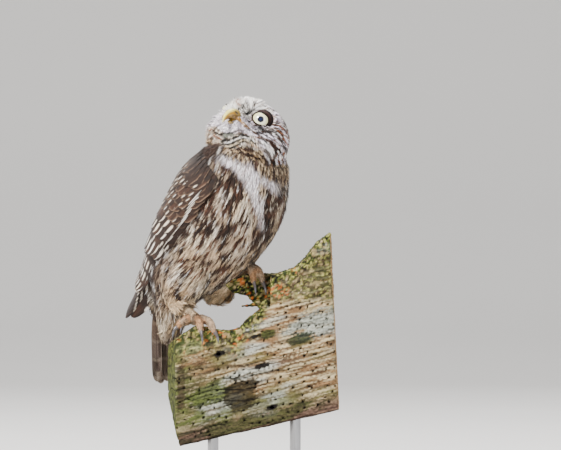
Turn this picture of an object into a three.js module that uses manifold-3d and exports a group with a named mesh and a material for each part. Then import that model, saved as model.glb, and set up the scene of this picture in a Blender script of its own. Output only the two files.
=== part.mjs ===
// A little owl, life size, looking up over its shoulder while it grips the broken end of an old timber.
// The timber is a short cut length, held on two rods above a plain base.
// Millimetres. +X runs to the right along the timber, +Y away from the viewer, +Z up.
// The origin is the middle of the base's underside.
import * as THREE from "three";
import { mergeVertices } from "three/addons/utils/BufferGeometryUtils.js";
import Module from "manifold-3d";

const wasm = await Module();
wasm.setup();

const rad = THREE.MathUtils.degToRad;
const at = (x, y, z) => new THREE.Vector3(x, y, z);

// Fit between neighbouring pieces
const GAP = 0.3;

// Owl frame: x forward, y to the owl's left, z up, from the middle of its body
const BODY_PLACE = at(-9.5, 0, 198.6);
const BODY_TURN = rad(-40);

// Trunk: spine from the tip of the under-tail feathers to the top of the neck,
// and at each spine point its depth to the back, to the belly and to each side
const TRUNK_SPINE = [
  [-52.5, -82], [-50, -68], [-48, -50], [-37, -30], [-12, -6], [8, 20], [19, 44], [24, 62],
];
const TRUNK_RADII = [
  [2, 3, 3], [5.5, 10, 10.5], [12, 19, 18], [27, 30, 30],
  [38, 38.5, 38], [39, 42, 41], [33, 37, 36], [28, 30, 30],
];
const TRUNK_RINGS = 18;
const TRUNK_SIDES = 24;
const NECK_LINE = 0.79;

// Head: where it sits, how it is turned, and its half sizes to the front, back, side, top and bottom
const HEAD_PLACE = at(26.3, 0, 66.2);
const HEAD_TURN = rad(-83);
const HEAD_LIFT = rad(42);
const HEAD_TILT = rad(-14);
const HEAD = { front: 27.5, back: 30, side: 31.5, top: 27, bottom: 26 };

const HEAD_SIDES = 24;
const HEAD_RINGS = 15;

// Swellings and hollows of the head: direction (forward, side, up), reach, height in mm
const HEAD_FORMS = [
  { to: [0.68, 0.5, 0.54], reach: 0.34, height: 3.2 },
  { to: [0.72, 0.67, 0.16], reach: 0.28, height: -2 },
  { to: [0.3, 0.88, -0.36], reach: 0.42, height: 2.2 },
  { to: [0.6, 0.5, -0.62], reach: 0.34, height: 2.0 },
  { to: [0.98, 0, -0.1], reach: 0.34, height: 1.6 },
];

// Eyes: globe centre in the head frame, for the left one, with its radius and the way it looks
const EYE_PLACE = at(14.2, 15.2, 5.4);
const EYE_RADIUS = 7.8;
const EYE_AXIS = at(0.85, 0.52, -0.06).normalize();
const LID = { forward: 4.9, ring: 6.5, thick: 1.1, seat: 7.4, rim: 11.5, deep: 7 };

// Bill: path in the head's middle plane (forward, up), with half width and half height
const BILL_UPPER = [
  [17.5, -1.6, 6.2, 5.6], [24, -1.8, 5.6, 5.0], [28.2, -4.4, 4.2, 3.7],
  [30, -8.6, 2.5, 2.2], [29.2, -13.4, 0.45, 0.45],
];
const BILL_LOWER = [
  [15.5, -8, 6.2, 2.4], [22, -8.7, 5.4, 2.3], [27.2, -10.6, 2, 1.2],
];
const MOUTH_SLIT = { centre: at(8, 0, -7.4), radii: at(21.5, 21, 0.5) };
const NOSTRIL = { centre: at(27.4, 3.5, -1.1), radius: 1.1 };

// Folded wing: a tapering shell round the back, from the shoulder along a line to the wing tips
const WING_START = at(14, 0, 34);
const WING_END = at(-93.5, 0, -68.5);
const WING_LENGTH = WING_START.distanceTo(WING_END);
const WING_ALONG = WING_END.clone().sub(WING_START).normalize();
const WING_OUT = at(WING_ALONG.z, 0, -WING_ALONG.x);
// Half width to the side and height above the line, at even steps from the shoulder to the tip
const WING_RADII = [
  [39.5, 31], [42.6, 31], [41.5, 26.5], [37.5, 22.5], [30, 17.5], [20, 12.5], [13, 9], [9, 7],
];
const WING_FRONT = -8;
// Fleshy part of the wing: where it ends, and rows of place along, height outside and height inside
const WING_CORE_END = 100;
const WING_CORE_HEIGHTS = [
  [-8, -2.5, -14], [6, 2, -13], [18, 3, -12], [48, 1.6, -9], [80, -0.2, -8], [100, -1.4, -7],
];

// Vanes of feathers: share of the width at each station from the root to the tip
const COVERT_STATIONS = [[0, 0.6], [0.45, 1], [0.86, 0.84], [1, 0.28]];
const QUILL_STATIONS = [[0, 0.6], [0.32, 0.92], [0.66, 1], [0.9, 0.78], [1, 0.26]];
const VANE = { thick: 0.55, tilt: 0.85, overlap: 1.75 };

// Tiers of wing feathers, each from the back's side to the belly's side: root and tips along the wing,
// degrees round at the roots and at the tips, height at root and tip
const WING_TIERS = [
  { count: 4, root: 12, tips: [62, 52], rootRound: [36, 56], tipRound: [18, 42], heights: [1.4, 3.3] },
  { count: 6, root: 16, tips: [57, 46], rootRound: [52, 107], tipRound: [48, 106], heights: [1.6, 2.9] },
  { count: 8, root: 36, tips: [90, 74], rootRound: [28, 108], tipRound: [22, 106], heights: [0.4, 1.6] },
  { count: 8, root: 60, tips: [106, 118], rootRound: [26, 101], tipRound: [18, 88], heights: [-1.8, 0.3] },
];
// Primaries: tips along the wing, degrees round at the tip, and height, from the innermost to the outermost
const PRIMARIES = [
  { tip: 116, round: 62, height: -2.3 },
  { tip: 124, round: 66, height: -3.15 },
  { tip: 132, round: 71, height: -4 },
  { tip: 140, round: 76, height: -4.85 },
  { tip: 146, round: 82, height: -5.7 },
];
const PRIMARY = { root: 66, rootRound: 99, rise: 0.6, width: 9.5 };

// Tail: the outermost pair's plane, the outer feathers lying in front of the middle ones
const TAIL_ROOT = at(-56.8, 0, -44);
const TAIL_TIP = at(-55.5, 0, -115);
// Each step outwards from the middle pair: sideways, towards the belly and shorter
const RECTRICES = {
  pairs: 6, width: 10.4, thick: 0.5, middle: 0.8, first: 5.5, step: 0.75, level: 0.82, shorter: 1.5,
};
const TAIL_STUMP = [[-54, -30, 9, 6], [-59.5, -44, 9, 5.5], [-60.2, -63, 5.5, 1.2]];

// Legs: hip, heel, ankle and sole height, in the owl frame
const LEGS = {
  right: { hip: at(-2, -17, -16), heel: at(-29, -18, -53), ankle: at(-7.5, -22, -66), sole: -71.6 },
  left: { hip: at(4, 18, -12), heel: at(-17.5, 11.5, -52.6), ankle: at(11, 13.8, -29.5), sole: -34.6 },
};
const THIGH = { top: 8, middle: 12.5, bottom: 6.5 };
const TARSUS = { top: 5.4, middle: 4.4, bottom: 5.2 };

// Toes: heading from straight ahead, length, and how far the tip drops over the timber
const TOES = {
  right: [
    { name: "inner", heading: rad(2), length: 19, drop: 7.5 },
    { name: "middle", heading: rad(-30), length: 15, drop: 7.5 },
    { name: "outer", heading: rad(-112), length: 14, drop: 4 },
    { name: "hind", heading: rad(172), length: 11, drop: 2 },
  ],
  left: [
    { name: "inner", heading: rad(-24), length: 14, drop: 9 },
    { name: "middle", heading: rad(0), length: 16.5, drop: 9 },
    { name: "outer", heading: rad(84), length: 12, drop: 6 },
    { name: "hind", heading: rad(150), length: 13, drop: 9 },
  ],
};
const TOE_RADIUS = 3.3;
const CLAW = { radius: 1.55, length: 10.5, end: rad(98) };

// Timber: outline seen from the front, depth, and the slant of its weathered end
const TIMBER_OUTLINE = [
  [-52.6, 103], [-47.5, 114.5], [-29, 127.2], [-6, 123.4], [3, 125.6], [10.2, 133.6], [18.5, 139.7],
  [9, 149], [-1.8, 151.6], [-7.6, 157.4], [-3.2, 160.8], [5.8, 164.4], [31, 165.7], [43, 169.4],
  [51, 177], [59, 187.6], [70, 196], [76, 66.6], [-40, 40], [-49, 73],
];
const TIMBER_DEPTH = 46;
const TIMBER_ROUND = 3;
const TIMBER_SLANT = { place: -46.5, turn: rad(8.5) };
// The broken stub is only this deep, from front to back, left of its shoulder
const STUB = { front: -4.2, back: 11, shoulder: 26, floor: 141 };
const SPLINTER = [[24, 143.8, 3], [14, 143, 2.2], [4.5, 141.6, 0.5]];
// Knot holes in the front face: place, half width, half height and depth
const KNOTS = [
  { x: -11.7, z: 107.3, wide: 3.4, high: 2.6, deep: 9 },
  { x: 19.7, z: 98.6, wide: 4.6, high: 2.2, deep: 8 },
  { x: 27, z: 68.5, wide: 3.4, high: 2.1, deep: 8 },
  { x: 15, z: 120, wide: 3.2, high: 1.6, deep: 6 },
];

// Stand
const BASE = { length: 172, depth: 112, thick: 11, corner: 20, bevel: 1.6 };
const ROD = { radius: 4, places: [-16, 44] };
const ROD_SIDES = 16;

const COLOURS = {
  brown: 0x5b4636, buff: 0xb9a283, white: 0xe6e0d8, iris: 0xe8e29a, bill: 0xd9c070,
  claw: 0x2c2826, wood: 0x8f8a63, base: 0x3a3632, metal: 0x8a8a88,
};
const paint = (color, roughness, metalness = 0) =>
  new THREE.MeshStandardMaterial({ color, roughness, metalness });
const MATERIALS = {
  plumage: paint(COLOURS.brown, 0.9),
  flank: paint(COLOURS.buff, 0.9),
  leg: paint(COLOURS.buff, 0.9),
  eye: paint(COLOURS.iris, 0.12),
  bill: paint(COLOURS.bill, 0.45),
  claw: paint(COLOURS.claw, 0.35),
  timber: paint(COLOURS.wood, 0.92),
  base: paint(COLOURS.base, 0.5),
  rod: paint(COLOURS.metal, 0.35, 0.9),
};

// Closed meshes and solids

// A solid from a closed geometry, turned to face out.
function solidOf(geometry) {
  const bare = new THREE.BufferGeometry().setAttribute("position", geometry.getAttribute("position"));
  if (geometry.index) bare.setIndex(geometry.index);
  const merged = mergeVertices(bare, 1e-4);
  const faces = [];
  const from = merged.index.array;
  for (let i = 0; i < from.length; i += 3) {
    const [a, b, c] = [from[i], from[i + 1], from[i + 2]];
    if (a !== b && b !== c && a !== c) faces.push(a, b, c);
  }
  const build = (triangles) =>
    new wasm.Manifold(
      new wasm.Mesh({
        numProp: 3,
        vertProperties: Float32Array.from(merged.attributes.position.array),
        triVerts: Uint32Array.from(triangles),
      }),
    );
  const made = build(faces);
  return made.volume() > 0 ? made : build(faces.slice().reverse());
}

const joined = (solids) => solids.reduce((a, b) => a.add(b));

// The largest closed surface of a solid, without loose scraps or sealed hollows.
function largest(solid) {
  return solid.decompose().reduce((a, b) => (b.volume() > a.volume() ? b : a));
}

function geometryOf(solid) {
  const mesh = solid.getMesh();
  const points = new Float32Array(mesh.numVert * 3);
  for (let i = 0; i < mesh.numVert; i++) {
    points.set(mesh.vertProperties.subarray(i * mesh.numProp, i * mesh.numProp + 3), i * 3);
  }
  const geometry = new THREE.BufferGeometry();
  geometry.setAttribute("position", new THREE.BufferAttribute(points, 3));
  geometry.setIndex(new THREE.BufferAttribute(mesh.triVerts, 1));
  geometry.computeVertexNormals();
  return geometry;
}

function meshOf(name, solid, material) {
  const mesh = new THREE.Mesh(geometryOf(largest(solid)), material);
  mesh.name = name;
  return mesh;
}

// A closed skin through rings of equal length, with a fan over each end.
function loft(rings) {
  const positions = [];
  const index = [];
  const push = (p) => positions.push(p.x, p.y, p.z) / 3 - 1;
  const starts = rings.map((ring) => ring.map(push)[0]);
  const sides = rings[0].length;
  for (let r = 0; r + 1 < rings.length; r++) {
    for (let i = 0; i < sides; i++) {
      const next = (i + 1) % sides;
      const [a, b] = [starts[r], starts[r + 1]];
      index.push(a + i, a + next, b + next, a + i, b + next, b + i);
    }
  }
  const fan = (ring, start, turned) => {
    const middle = ring.reduce((sum, p) => sum.add(p), at(0, 0, 0)).divideScalar(sides);
    const centre = push(middle);
    for (let i = 0; i < sides; i++) {
      const next = (i + 1) % sides;
      index.push(centre, start + (turned ? next : i), start + (turned ? i : next));
    }
  };
  fan(rings[0], starts[0], true);
  fan(rings.at(-1), starts.at(-1), false);
  const geometry = new THREE.BufferGeometry();
  geometry.setAttribute("position", new THREE.Float32BufferAttribute(positions, 3));
  geometry.setIndex(index);
  return geometry;
}

// A ring of points round a centre: side and up are unit directions.
function ring(centre, side, up, sideRadius, upRadius, downRadius, sides) {
  return Array.from({ length: sides }, (_, i) => {
    const angle = (i / sides) * 2 * Math.PI;
    const lift = Math.cos(angle) > 0 ? upRadius : downRadius;
    return centre
      .clone()
      .addScaledVector(up, Math.cos(angle) * lift)
      .addScaledVector(side, Math.sin(angle) * sideRadius);
  });
}

// A closed plate between two faces, each a function of u and v from 0 to 1, split alike on both.
function plate(outer, inner, along, across) {
  const positions = [];
  const index = [];
  const row = across + 1;
  const faceSize = (along + 1) * row;
  for (const face of [outer, inner]) {
    for (let i = 0; i <= along; i++) {
      for (let j = 0; j <= across; j++) positions.push(...face(i / along, j / across).toArray());
    }
  }
  const quad = (a, b, c, d) => index.push(a, b, c, a, c, d);
  for (let i = 0; i < along; i++) {
    for (let j = 0; j < across; j++) {
      const a = i * row + j;
      quad(a, a + row, a + row + 1, a + 1);
      const b = a + faceSize;
      index.push(b, b + row + 1, b + row, b, b + 1, b + row + 1);
    }
  }
  for (let i = 0; i < along; i++) {
    const low = i * row;
    quad(low, low + faceSize, low + row + faceSize, low + row);
    const high = low + across;
    quad(high + row, high + row + faceSize, high + faceSize, high);
  }
  for (let j = 0; j < across; j++) {
    quad(j + 1, j + 1 + faceSize, j + faceSize, j);
    const end = along * row + j;
    quad(end, end + faceSize, end + 1 + faceSize, end + 1);
  }
  const geometry = new THREE.BufferGeometry();
  geometry.setAttribute("position", new THREE.Float32BufferAttribute(positions, 3));
  geometry.setIndex(index);
  return geometry;
}

// A smooth curve through rows of numbers, read at t from 0 to 1.
function through(rows) {
  const points = rows.map((r) => at(r[0], r[1] ?? 0, r[2] ?? 0));
  const curve = new THREE.CatmullRomCurve3(points, false, "catmullrom", 0.5);
  return (t) => curve.getPoint(THREE.MathUtils.clamp(t, 0, 1));
}

// A tapering limb of round section along a path of points, with a radius at each.
function limb(points, radii, steps, sides, swell = 0) {
  const path = new THREE.CatmullRomCurve3(points, false, "catmullrom", 0.5);
  const thick = through(radii.map((r) => (Array.isArray(r) ? r : [r, r])));
  const side = at(0, 1, 0);
  const rings = [];
  for (let i = 0; i <= steps; i++) {
    const t = i / steps;
    const tangent = path.getTangent(t);
    const up = new THREE.Vector3().crossVectors(tangent, side).normalize();
    const across = new THREE.Vector3().crossVectors(up, tangent).normalize();
    const r = thick(t);
    rings.push(ring(path.getPoint(t), across, up, r.x + swell, r.y + swell, r.y + swell, sides));
  }
  return loft(rings);
}

// Trunk and neck

const spinePoints = TRUNK_SPINE.map(([x, z]) => at(x, 0, z));
const trunkSpine = new THREE.CatmullRomCurve3(spinePoints, false, "catmullrom", 0.5);
const trunkRadii = through(TRUNK_RADII);

function trunkRing(t, swell) {
  const tangent = trunkSpine.getTangent(t);
  const back = at(-tangent.z, 0, tangent.x);
  const r = trunkRadii(t);
  return ring(trunkSpine.getPoint(t), at(0, 1, 0), back, r.z + swell, r.x + swell, r.y + swell, TRUNK_SIDES);
}

function trunk(swell) {
  return solidOf(loft(Array.from({ length: TRUNK_RINGS + 1 }, (_, i) => trunkRing(i / TRUNK_RINGS, swell))));
}

// Head

const HEAD_MATRIX = (() => {
  const ahead = at(Math.cos(HEAD_TURN), Math.sin(HEAD_TURN), 0);
  const forward = ahead.multiplyScalar(Math.cos(HEAD_LIFT)).setZ(Math.sin(HEAD_LIFT));
  const level = at(-Math.sin(HEAD_TURN), Math.cos(HEAD_TURN), 0);
  const left = level.applyAxisAngle(forward, HEAD_TILT);
  const up = new THREE.Vector3().crossVectors(forward, left);
  return new THREE.Matrix4().makeBasis(forward, left, up).setPosition(HEAD_PLACE);
})();

// Distance from the head's centre to its surface, in a unit direction of the head frame.
function headReach(direction, swell) {
  const { x, y, z } = direction;
  const length = x > 0 ? HEAD.front : HEAD.back;
  const height = z > 0 ? HEAD.top : HEAD.bottom;
  let reach = 1 / Math.hypot(x / length, y / HEAD.side, z / height);
  for (const form of HEAD_FORMS) {
    for (const side of form.to[1] ? [1, -1] : [1]) {
      const to = at(form.to[0], side * form.to[1], form.to[2]).normalize();
      const away = to.angleTo(direction) / form.reach;
      reach += form.height * Math.exp(-away * away);
    }
  }
  return reach + swell;
}

function headBall(swell) {
  const ball = new THREE.SphereGeometry(1, HEAD_SIDES, HEAD_RINGS);
  const spots = ball.getAttribute("position");
  for (let i = 0; i < spots.count; i++) {
    const direction = at(spots.getX(i), spots.getY(i), spots.getZ(i)).normalize();
    direction.multiplyScalar(headReach(direction, swell));
    spots.setXYZ(i, direction.x, direction.y, direction.z);
  }
  return solidOf(ball.applyMatrix4(HEAD_MATRIX));
}

const mirrored = (v, side) => at(v.x, v.y * side, v.z);

function eyeGlobe(side, radius) {
  const centre = mirrored(EYE_PLACE, side);
  const globe = new THREE.SphereGeometry(radius, 14, 9).translate(centre.x, centre.y, centre.z);
  return solidOf(globe.applyMatrix4(HEAD_MATRIX));
}

// A piece round an eye's line of sight, set forward of the globe's centre.
function roundEye(geometry, side, forward) {
  const axis = mirrored(EYE_AXIS, side);
  const centre = mirrored(EYE_PLACE, side).addScaledVector(axis, forward);
  geometry.applyQuaternion(new THREE.Quaternion().setFromUnitVectors(at(0, 0, 1), axis));
  return solidOf(geometry.translate(centre.x, centre.y, centre.z).applyMatrix4(HEAD_MATRIX));
}

const lidRing = (side) => roundEye(new THREE.TorusGeometry(LID.ring, LID.thick, 6, 18), side, LID.forward);

// The raised seat that carries the lids, and the open cone cleared in front of it.
function lidSeat(side) {
  const seat = new THREE.CylinderGeometry(LID.seat, LID.seat + 1.5, LID.forward, 18).rotateX(Math.PI / 2);
  return roundEye(seat, side, LID.forward / 2);
}

function lidClearance(side) {
  const cone = new THREE.CylinderGeometry(LID.rim, LID.seat, LID.deep, 18).rotateX(Math.PI / 2);
  return roundEye(cone, side, LID.forward + LID.deep / 2);
}

function billHalf(rows, swell) {
  const points = rows.map(([x, z]) => at(x, 0, z));
  const radii = rows.map(([, , wide, high]) => [wide, high]);
  return solidOf(limb(points, radii, 7, 10, swell).applyMatrix4(HEAD_MATRIX));
}

function ballAt(centre, radii, sides) {
  const ball = new THREE.SphereGeometry(1, sides, Math.ceil(sides / 2)).scale(radii.x, radii.y, radii.z);
  return solidOf(ball.translate(centre.x, centre.y, centre.z).applyMatrix4(HEAD_MATRIX));
}

// Wings

const wingRadii = through(WING_RADII);

const wingShare = (along) => (along - WING_FRONT) / (WING_LENGTH - WING_FRONT);

// A point of the folded wing's shell: along from the shoulder in mm, round from the back's middle,
// and its height over the shell
function wingPoint(along, round, height, side) {
  const r = wingRadii(wingShare(along));
  return WING_START.clone()
    .addScaledVector(WING_ALONG, along)
    .addScaledVector(WING_OUT, Math.cos(round) * (r.y + height))
    .add(at(0, side * Math.sin(round) * (r.x + height), 0));
}

// Tail

const TAIL_DOWN = TAIL_TIP.clone().sub(TAIL_ROOT).normalize();
const TAIL_BACK = at(TAIL_DOWN.z, 0, -TAIL_DOWN.x);
const TAIL_LENGTH = TAIL_TIP.distanceTo(TAIL_ROOT);

// Timber

function timberShape(swell) {
  const points = TIMBER_OUTLINE.map(([x, z]) => new THREE.Vector2(x, z));
  if (THREE.ShapeUtils.area(points) < 0) points.reverse();
  return new THREE.Shape(
    points.map((p, i) => {
      const a = p.clone().sub(points.at(i - 1)).normalize();
      const b = points[(i + 1) % points.length].clone().sub(p).normalize();
      const out = new THREE.Vector2(a.y + b.y, -a.x - b.x).normalize();
      return p.clone().addScaledVector(out, swell / Math.max(0.6, Math.sqrt((1 + a.dot(b)) / 2)));
    }),
  );
}

const box = (low, high) => {
  const size = high.clone().sub(low);
  const middle = high.clone().add(low).multiplyScalar(0.5);
  return solidOf(new THREE.BoxGeometry(size.x, size.y, size.z).translate(middle.x, middle.y, middle.z));
};

// The timber with its broken stub, in the part's frame, grown by swell on every side.
function timber(swell) {
  const inner = TIMBER_DEPTH - 2 * TIMBER_ROUND + 2 * swell;
  const edge = TIMBER_ROUND * 0.6;
  const blank = new THREE.ExtrudeGeometry(timberShape(swell - edge), {
    depth: inner, bevelEnabled: true, bevelThickness: TIMBER_ROUND, bevelSize: edge,
    bevelSegments: 2, steps: 1,
  });
  blank.rotateX(Math.PI / 2).translate(0, inner / 2, 0);
  const far = 200;
  const front = box(at(-far, -far, STUB.floor), at(STUB.shoulder - swell, STUB.front - swell, far));
  const back = box(at(-far, STUB.back + swell, STUB.floor), at(STUB.shoulder - swell, far, far));
  const slant = [Math.cos(TIMBER_SLANT.turn), Math.sin(TIMBER_SLANT.turn), 0];
  const splinter = limb(SPLINTER.map(([x, z]) => at(x, -8, z)), SPLINTER.map((r) => r[2]), 4, 8, swell);
  return solidOf(blank)
    .subtract(front)
    .subtract(back)
    .trimByPlane(slant, (TIMBER_SLANT.place - swell) * slant[0])
    .add(solidOf(splinter));
}

function knotHole({ x, z, wide, high, deep }) {
  const hole = new THREE.CylinderGeometry(1, 0.45, deep, 9).scale(wide, 1, high);
  return solidOf(hole.translate(x, -TIMBER_DEPTH / 2 + deep / 2 - 1, z));
}

// Owl, in its own frame

const toOwl = new THREE.Matrix4().makeRotationZ(BODY_TURN).setPosition(BODY_PLACE).invert();
const timberGrown = timber(GAP).transform(toOwl.elements);

// How deep the legs are let into the trunk
const LEG_SEAT = 9;

const trunkGrown = trunk(GAP);
const neckNormal = trunkSpine.getTangent(NECK_LINE);
const neckOffset = neckNormal.dot(trunkSpine.getPoint(NECK_LINE));

const bill = {
  upper: billHalf(BILL_UPPER, 0),
  lower: billHalf(BILL_LOWER, 0),
  upperGrown: billHalf(BILL_UPPER, GAP),
  lowerGrown: billHalf(BILL_LOWER, GAP),
};

function headSolid() {
  const lids = [1, -1].map(lidRing);
  const globes = [1, -1].map((side) => eyeGlobe(side, EYE_RADIUS + GAP));
  const slit = ballAt(MOUTH_SLIT.centre, MOUTH_SLIT.radii, 20);
  return joined([headBall(0), ...[1, -1].map(lidSeat)])
    .subtract(joined([1, -1].map(lidClearance)))
    .add(joined(lids))
    .subtract(joined([...globes, slit, bill.upperGrown, bill.lowerGrown]));
}

const headGrown = headBall(GAP);

function billUpper() {
  const radii = at(NOSTRIL.radius, NOSTRIL.radius, NOSTRIL.radius);
  const nostrils = [1, -1].map((side) => ballAt(mirrored(NOSTRIL.centre, side), radii, 8));
  return bill.upper.subtract(joined(nostrils));
}

// Wings

// Edges of the folded wing, in degrees round from the back's middle, at even steps from shoulder to tip
const WING_UPPER_EDGE = through([[60], [32], [22], [16], [12], [12], [20], [40]]);
const WING_LOWER_EDGE = through([[78], [110], [114], [112], [107], [101], [95], [85]]);

const coreHeights = (along, column) => {
  const row = Math.max(1, WING_CORE_HEIGHTS.findIndex(([place]) => place >= along));
  const [low, high] = [WING_CORE_HEIGHTS[row - 1], WING_CORE_HEIGHTS[row]];
  return THREE.MathUtils.mapLinear(along, low[0], high[0], low[column], high[column]);
};

function wingCore(side) {
  const spot = (u, v, column) => {
    const along = THREE.MathUtils.lerp(WING_FRONT, WING_CORE_END, u);
    const share = wingShare(along);
    const round = THREE.MathUtils.lerp(WING_UPPER_EDGE(share).x, WING_LOWER_EDGE(share).x, v);
    return wingPoint(along, rad(round), coreHeights(along, column), side);
  };
  return solidOf(plate((u, v) => spot(u, v, 1), (u, v) => spot(u, v, 2), 11, 7));
}

// A flat vane along a path: frame(u) gives its middle, its direction across and its outward direction.
function vane(frame, stations, width, tilt, thick, across) {
  const last = stations.length - 1;
  const face = (outward) => (u, v) => {
    const [place, share] = stations[Math.round(u * last)];
    const { middle, over, out } = frame(place);
    const side = (2 * v - 1) * share;
    const lift = tilt * side + outward * thick * 0.5;
    return middle.clone().addScaledVector(over, side * width(place) * 0.5).addScaledVector(out, lift);
  };
  return solidOf(plate(face(1), face(-1), last, across));
}

// Middle and directions of a wing feather at a place on the wing's shell.
function wingFrame(along, round, height, side) {
  const middle = wingPoint(along, round, height, side);
  const over = wingPoint(along, round + 0.01, height, side).sub(middle).normalize();
  const out = wingPoint(along, round, height + 1, side).sub(middle);
  out.addScaledVector(over, -out.dot(over)).normalize();
  return { middle, over, out };
}

function tierVanes({ count, root, tips, rootRound, tipRound, heights }, side) {
  const lerp = THREE.MathUtils.lerp;
  return Array.from({ length: count }, (_, i) => {
    const share = i / (count - 1);
    const tip = lerp(tips[0], tips[1], share);
    const rounds = [lerp(...rootRound, share), lerp(...tipRound, share)];
    const place = (u, turn) =>
      wingPoint(lerp(root, tip, u), rad(lerp(...rounds, u) + turn), lerp(...heights, u), side);
    const turn = (u) => lerp(rootRound[1] - rootRound[0], tipRound[1] - tipRound[0], u) / (count - 1) / 2;
    const width = (u) => place(u, -turn(u)).distanceTo(place(u, turn(u))) * VANE.overlap;
    const frame = (u) => wingFrame(lerp(root, tip, u), rad(lerp(...rounds, u)), lerp(...heights, u), side);
    return vane(frame, COVERT_STATIONS, width, VANE.tilt, VANE.thick, 1);
  });
}

function primaryVanes(side) {
  const lerp = THREE.MathUtils.lerp;
  return PRIMARIES.map(({ tip, round, height }) => {
    const frame = (u) => {
      const turn = rad(lerp(PRIMARY.rootRound, round, u));
      return wingFrame(lerp(PRIMARY.root, tip, u), turn, height - PRIMARY.rise * (1 - u), side);
    };
    return vane(frame, QUILL_STATIONS, () => PRIMARY.width, 0, VANE.thick, 2);
  });
}

function wing(side) {
  const vanes = WING_TIERS.flatMap((tier) => tierVanes(tier, side));
  return joined([wingCore(side), ...vanes, ...primaryVanes(side)]).subtract(trunkGrown).subtract(timberGrown);
}

function tailStump() {
  const points = TAIL_STUMP.map(([x, z]) => at(x, 0, z));
  return solidOf(limb(points, TAIL_STUMP.map(([, , wide, deep]) => [wide, deep]), 4, 12));
}

// One tail feather: pair 0 is the middle pair, and the others lie in front of it, step by step.
function rectrix(pair, side) {
  const { width, thick, middle, first, step, level, shorter, pairs } = RECTRICES;
  const depth = pair ? (pairs - 1 - pair) * level : (pairs - (side > 0 ? 0 : 1)) * level;
  const sideways = side * (pair ? first + (pair - 1) * step : middle);
  const length = TAIL_LENGTH - shorter * pair;
  const frame = (u) => ({
    middle: TAIL_ROOT.clone()
      .addScaledVector(TAIL_DOWN, length * u)
      .addScaledVector(TAIL_BACK, depth)
      .add(at(0, THREE.MathUtils.lerp(sideways * 0.5, sideways, Math.min(1, u * 2)), 0)),
    over: at(0, 1, 0),
    out: TAIL_BACK,
  });
  return vane(frame, QUILL_STATIONS, (u) => width * Math.min(1, 0.62 + u), 0, thick, 2);
}

function tail() {
  const pairs = Array.from({ length: RECTRICES.pairs }, (_, pair) => pair);
  const feathers = [1, -1].flatMap((side) => pairs.map((pair) => rectrix(pair, side)));
  return joined([tailStump(), ...feathers]).subtract(trunkGrown).subtract(timberGrown);
}

// Legs and feet

function legSolid({ hip, heel, ankle }, swell) {
  const upper = [hip, hip.clone().lerp(heel, 0.45), heel];
  const lower = [heel, heel.clone().lerp(ankle, 0.55), ankle];
  const thigh = limb(upper, [THIGH.top, THIGH.middle, THIGH.bottom], 6, 14, swell);
  const shin = limb(lower, [TARSUS.top, TARSUS.middle, TARSUS.bottom], 5, 12, swell);
  return joined([solidOf(thigh), solidOf(shin)]);
}

function toePath({ ankle, sole }, { heading, length, drop }) {
  const way = at(Math.cos(heading), Math.sin(heading), 0);
  const spot = (share, height) => ankle.clone().setZ(height).addScaledVector(way, share * length);
  return [
    spot(0, ankle.z - 1),
    spot(0.3, sole + TOE_RADIUS + 2),
    spot(0.72, sole + TOE_RADIUS + 0.3),
    spot(1, sole + TOE_RADIUS - drop),
  ];
}

function toeSolid(leg, toe, swell) {
  const radii = [TOE_RADIUS * 1.15, TOE_RADIUS * 1.05, TOE_RADIUS, TOE_RADIUS * 0.62];
  return solidOf(limb(toePath(leg, toe), radii, 6, 8, swell));
}

// A claw goes on from its toe's tip and hooks down to the end angle, below the horizontal.
function clawSolid(leg, toe) {
  const path = toePath(leg, toe);
  const way = at(Math.cos(toe.heading), Math.sin(toe.heading), 0);
  const last = path[3].clone().sub(path[2]);
  const start = Math.atan2(-last.z, last.dot(way));
  const steps = 5;
  const points = [path[3].clone().addScaledVector(last.normalize(), -1.2)];
  for (let i = 0; i < steps; i++) {
    const angle = THREE.MathUtils.lerp(start - rad(18), CLAW.end, (i + 0.5) / steps);
    const step = way.clone().multiplyScalar(Math.cos(angle)).add(at(0, 0, -Math.sin(angle)));
    points.push(points[i].clone().addScaledVector(step, CLAW.length / steps));
  }
  const radii = points.map((_, i) => CLAW.radius * (1 - 0.86 * (i / steps) ** 1.3));
  return solidOf(limb(points, radii, 4, 6));
}

// Stand

function baseSolid() {
  const [x, y, r] = [BASE.length / 2 - BASE.bevel, BASE.depth / 2 - BASE.bevel, BASE.corner];
  const outline = new THREE.Shape();
  outline.moveTo(-x + r, -y).lineTo(x - r, -y).absarc(x - r, -y + r, r, -Math.PI / 2, 0);
  outline.lineTo(x, y - r).absarc(x - r, y - r, r, 0, Math.PI / 2);
  outline.lineTo(-x + r, y).absarc(-x + r, y - r, r, Math.PI / 2, Math.PI);
  outline.lineTo(-x, -y + r).absarc(-x + r, -y + r, r, Math.PI, 1.5 * Math.PI);
  const plateGeometry = new THREE.ExtrudeGeometry(outline, {
    depth: BASE.thick - 2 * BASE.bevel, bevelEnabled: true, bevelThickness: BASE.bevel, bevelSize: BASE.bevel,
    bevelSegments: 1, curveSegments: 5,
  });
  return solidOf(plateGeometry.translate(0, 0, BASE.bevel));
}

function rodSolid(x) {
  const height = 70;
  const rod = new THREE.CylinderGeometry(ROD.radius, ROD.radius, height, ROD_SIDES).rotateX(Math.PI / 2);
  return solidOf(rod.translate(x, 0, BASE.thick + GAP + height / 2)).subtract(timber(GAP));
}

// Assembly

const owl = new THREE.Group();
owl.position.copy(BODY_PLACE);
owl.rotation.z = BODY_TURN;

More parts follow.
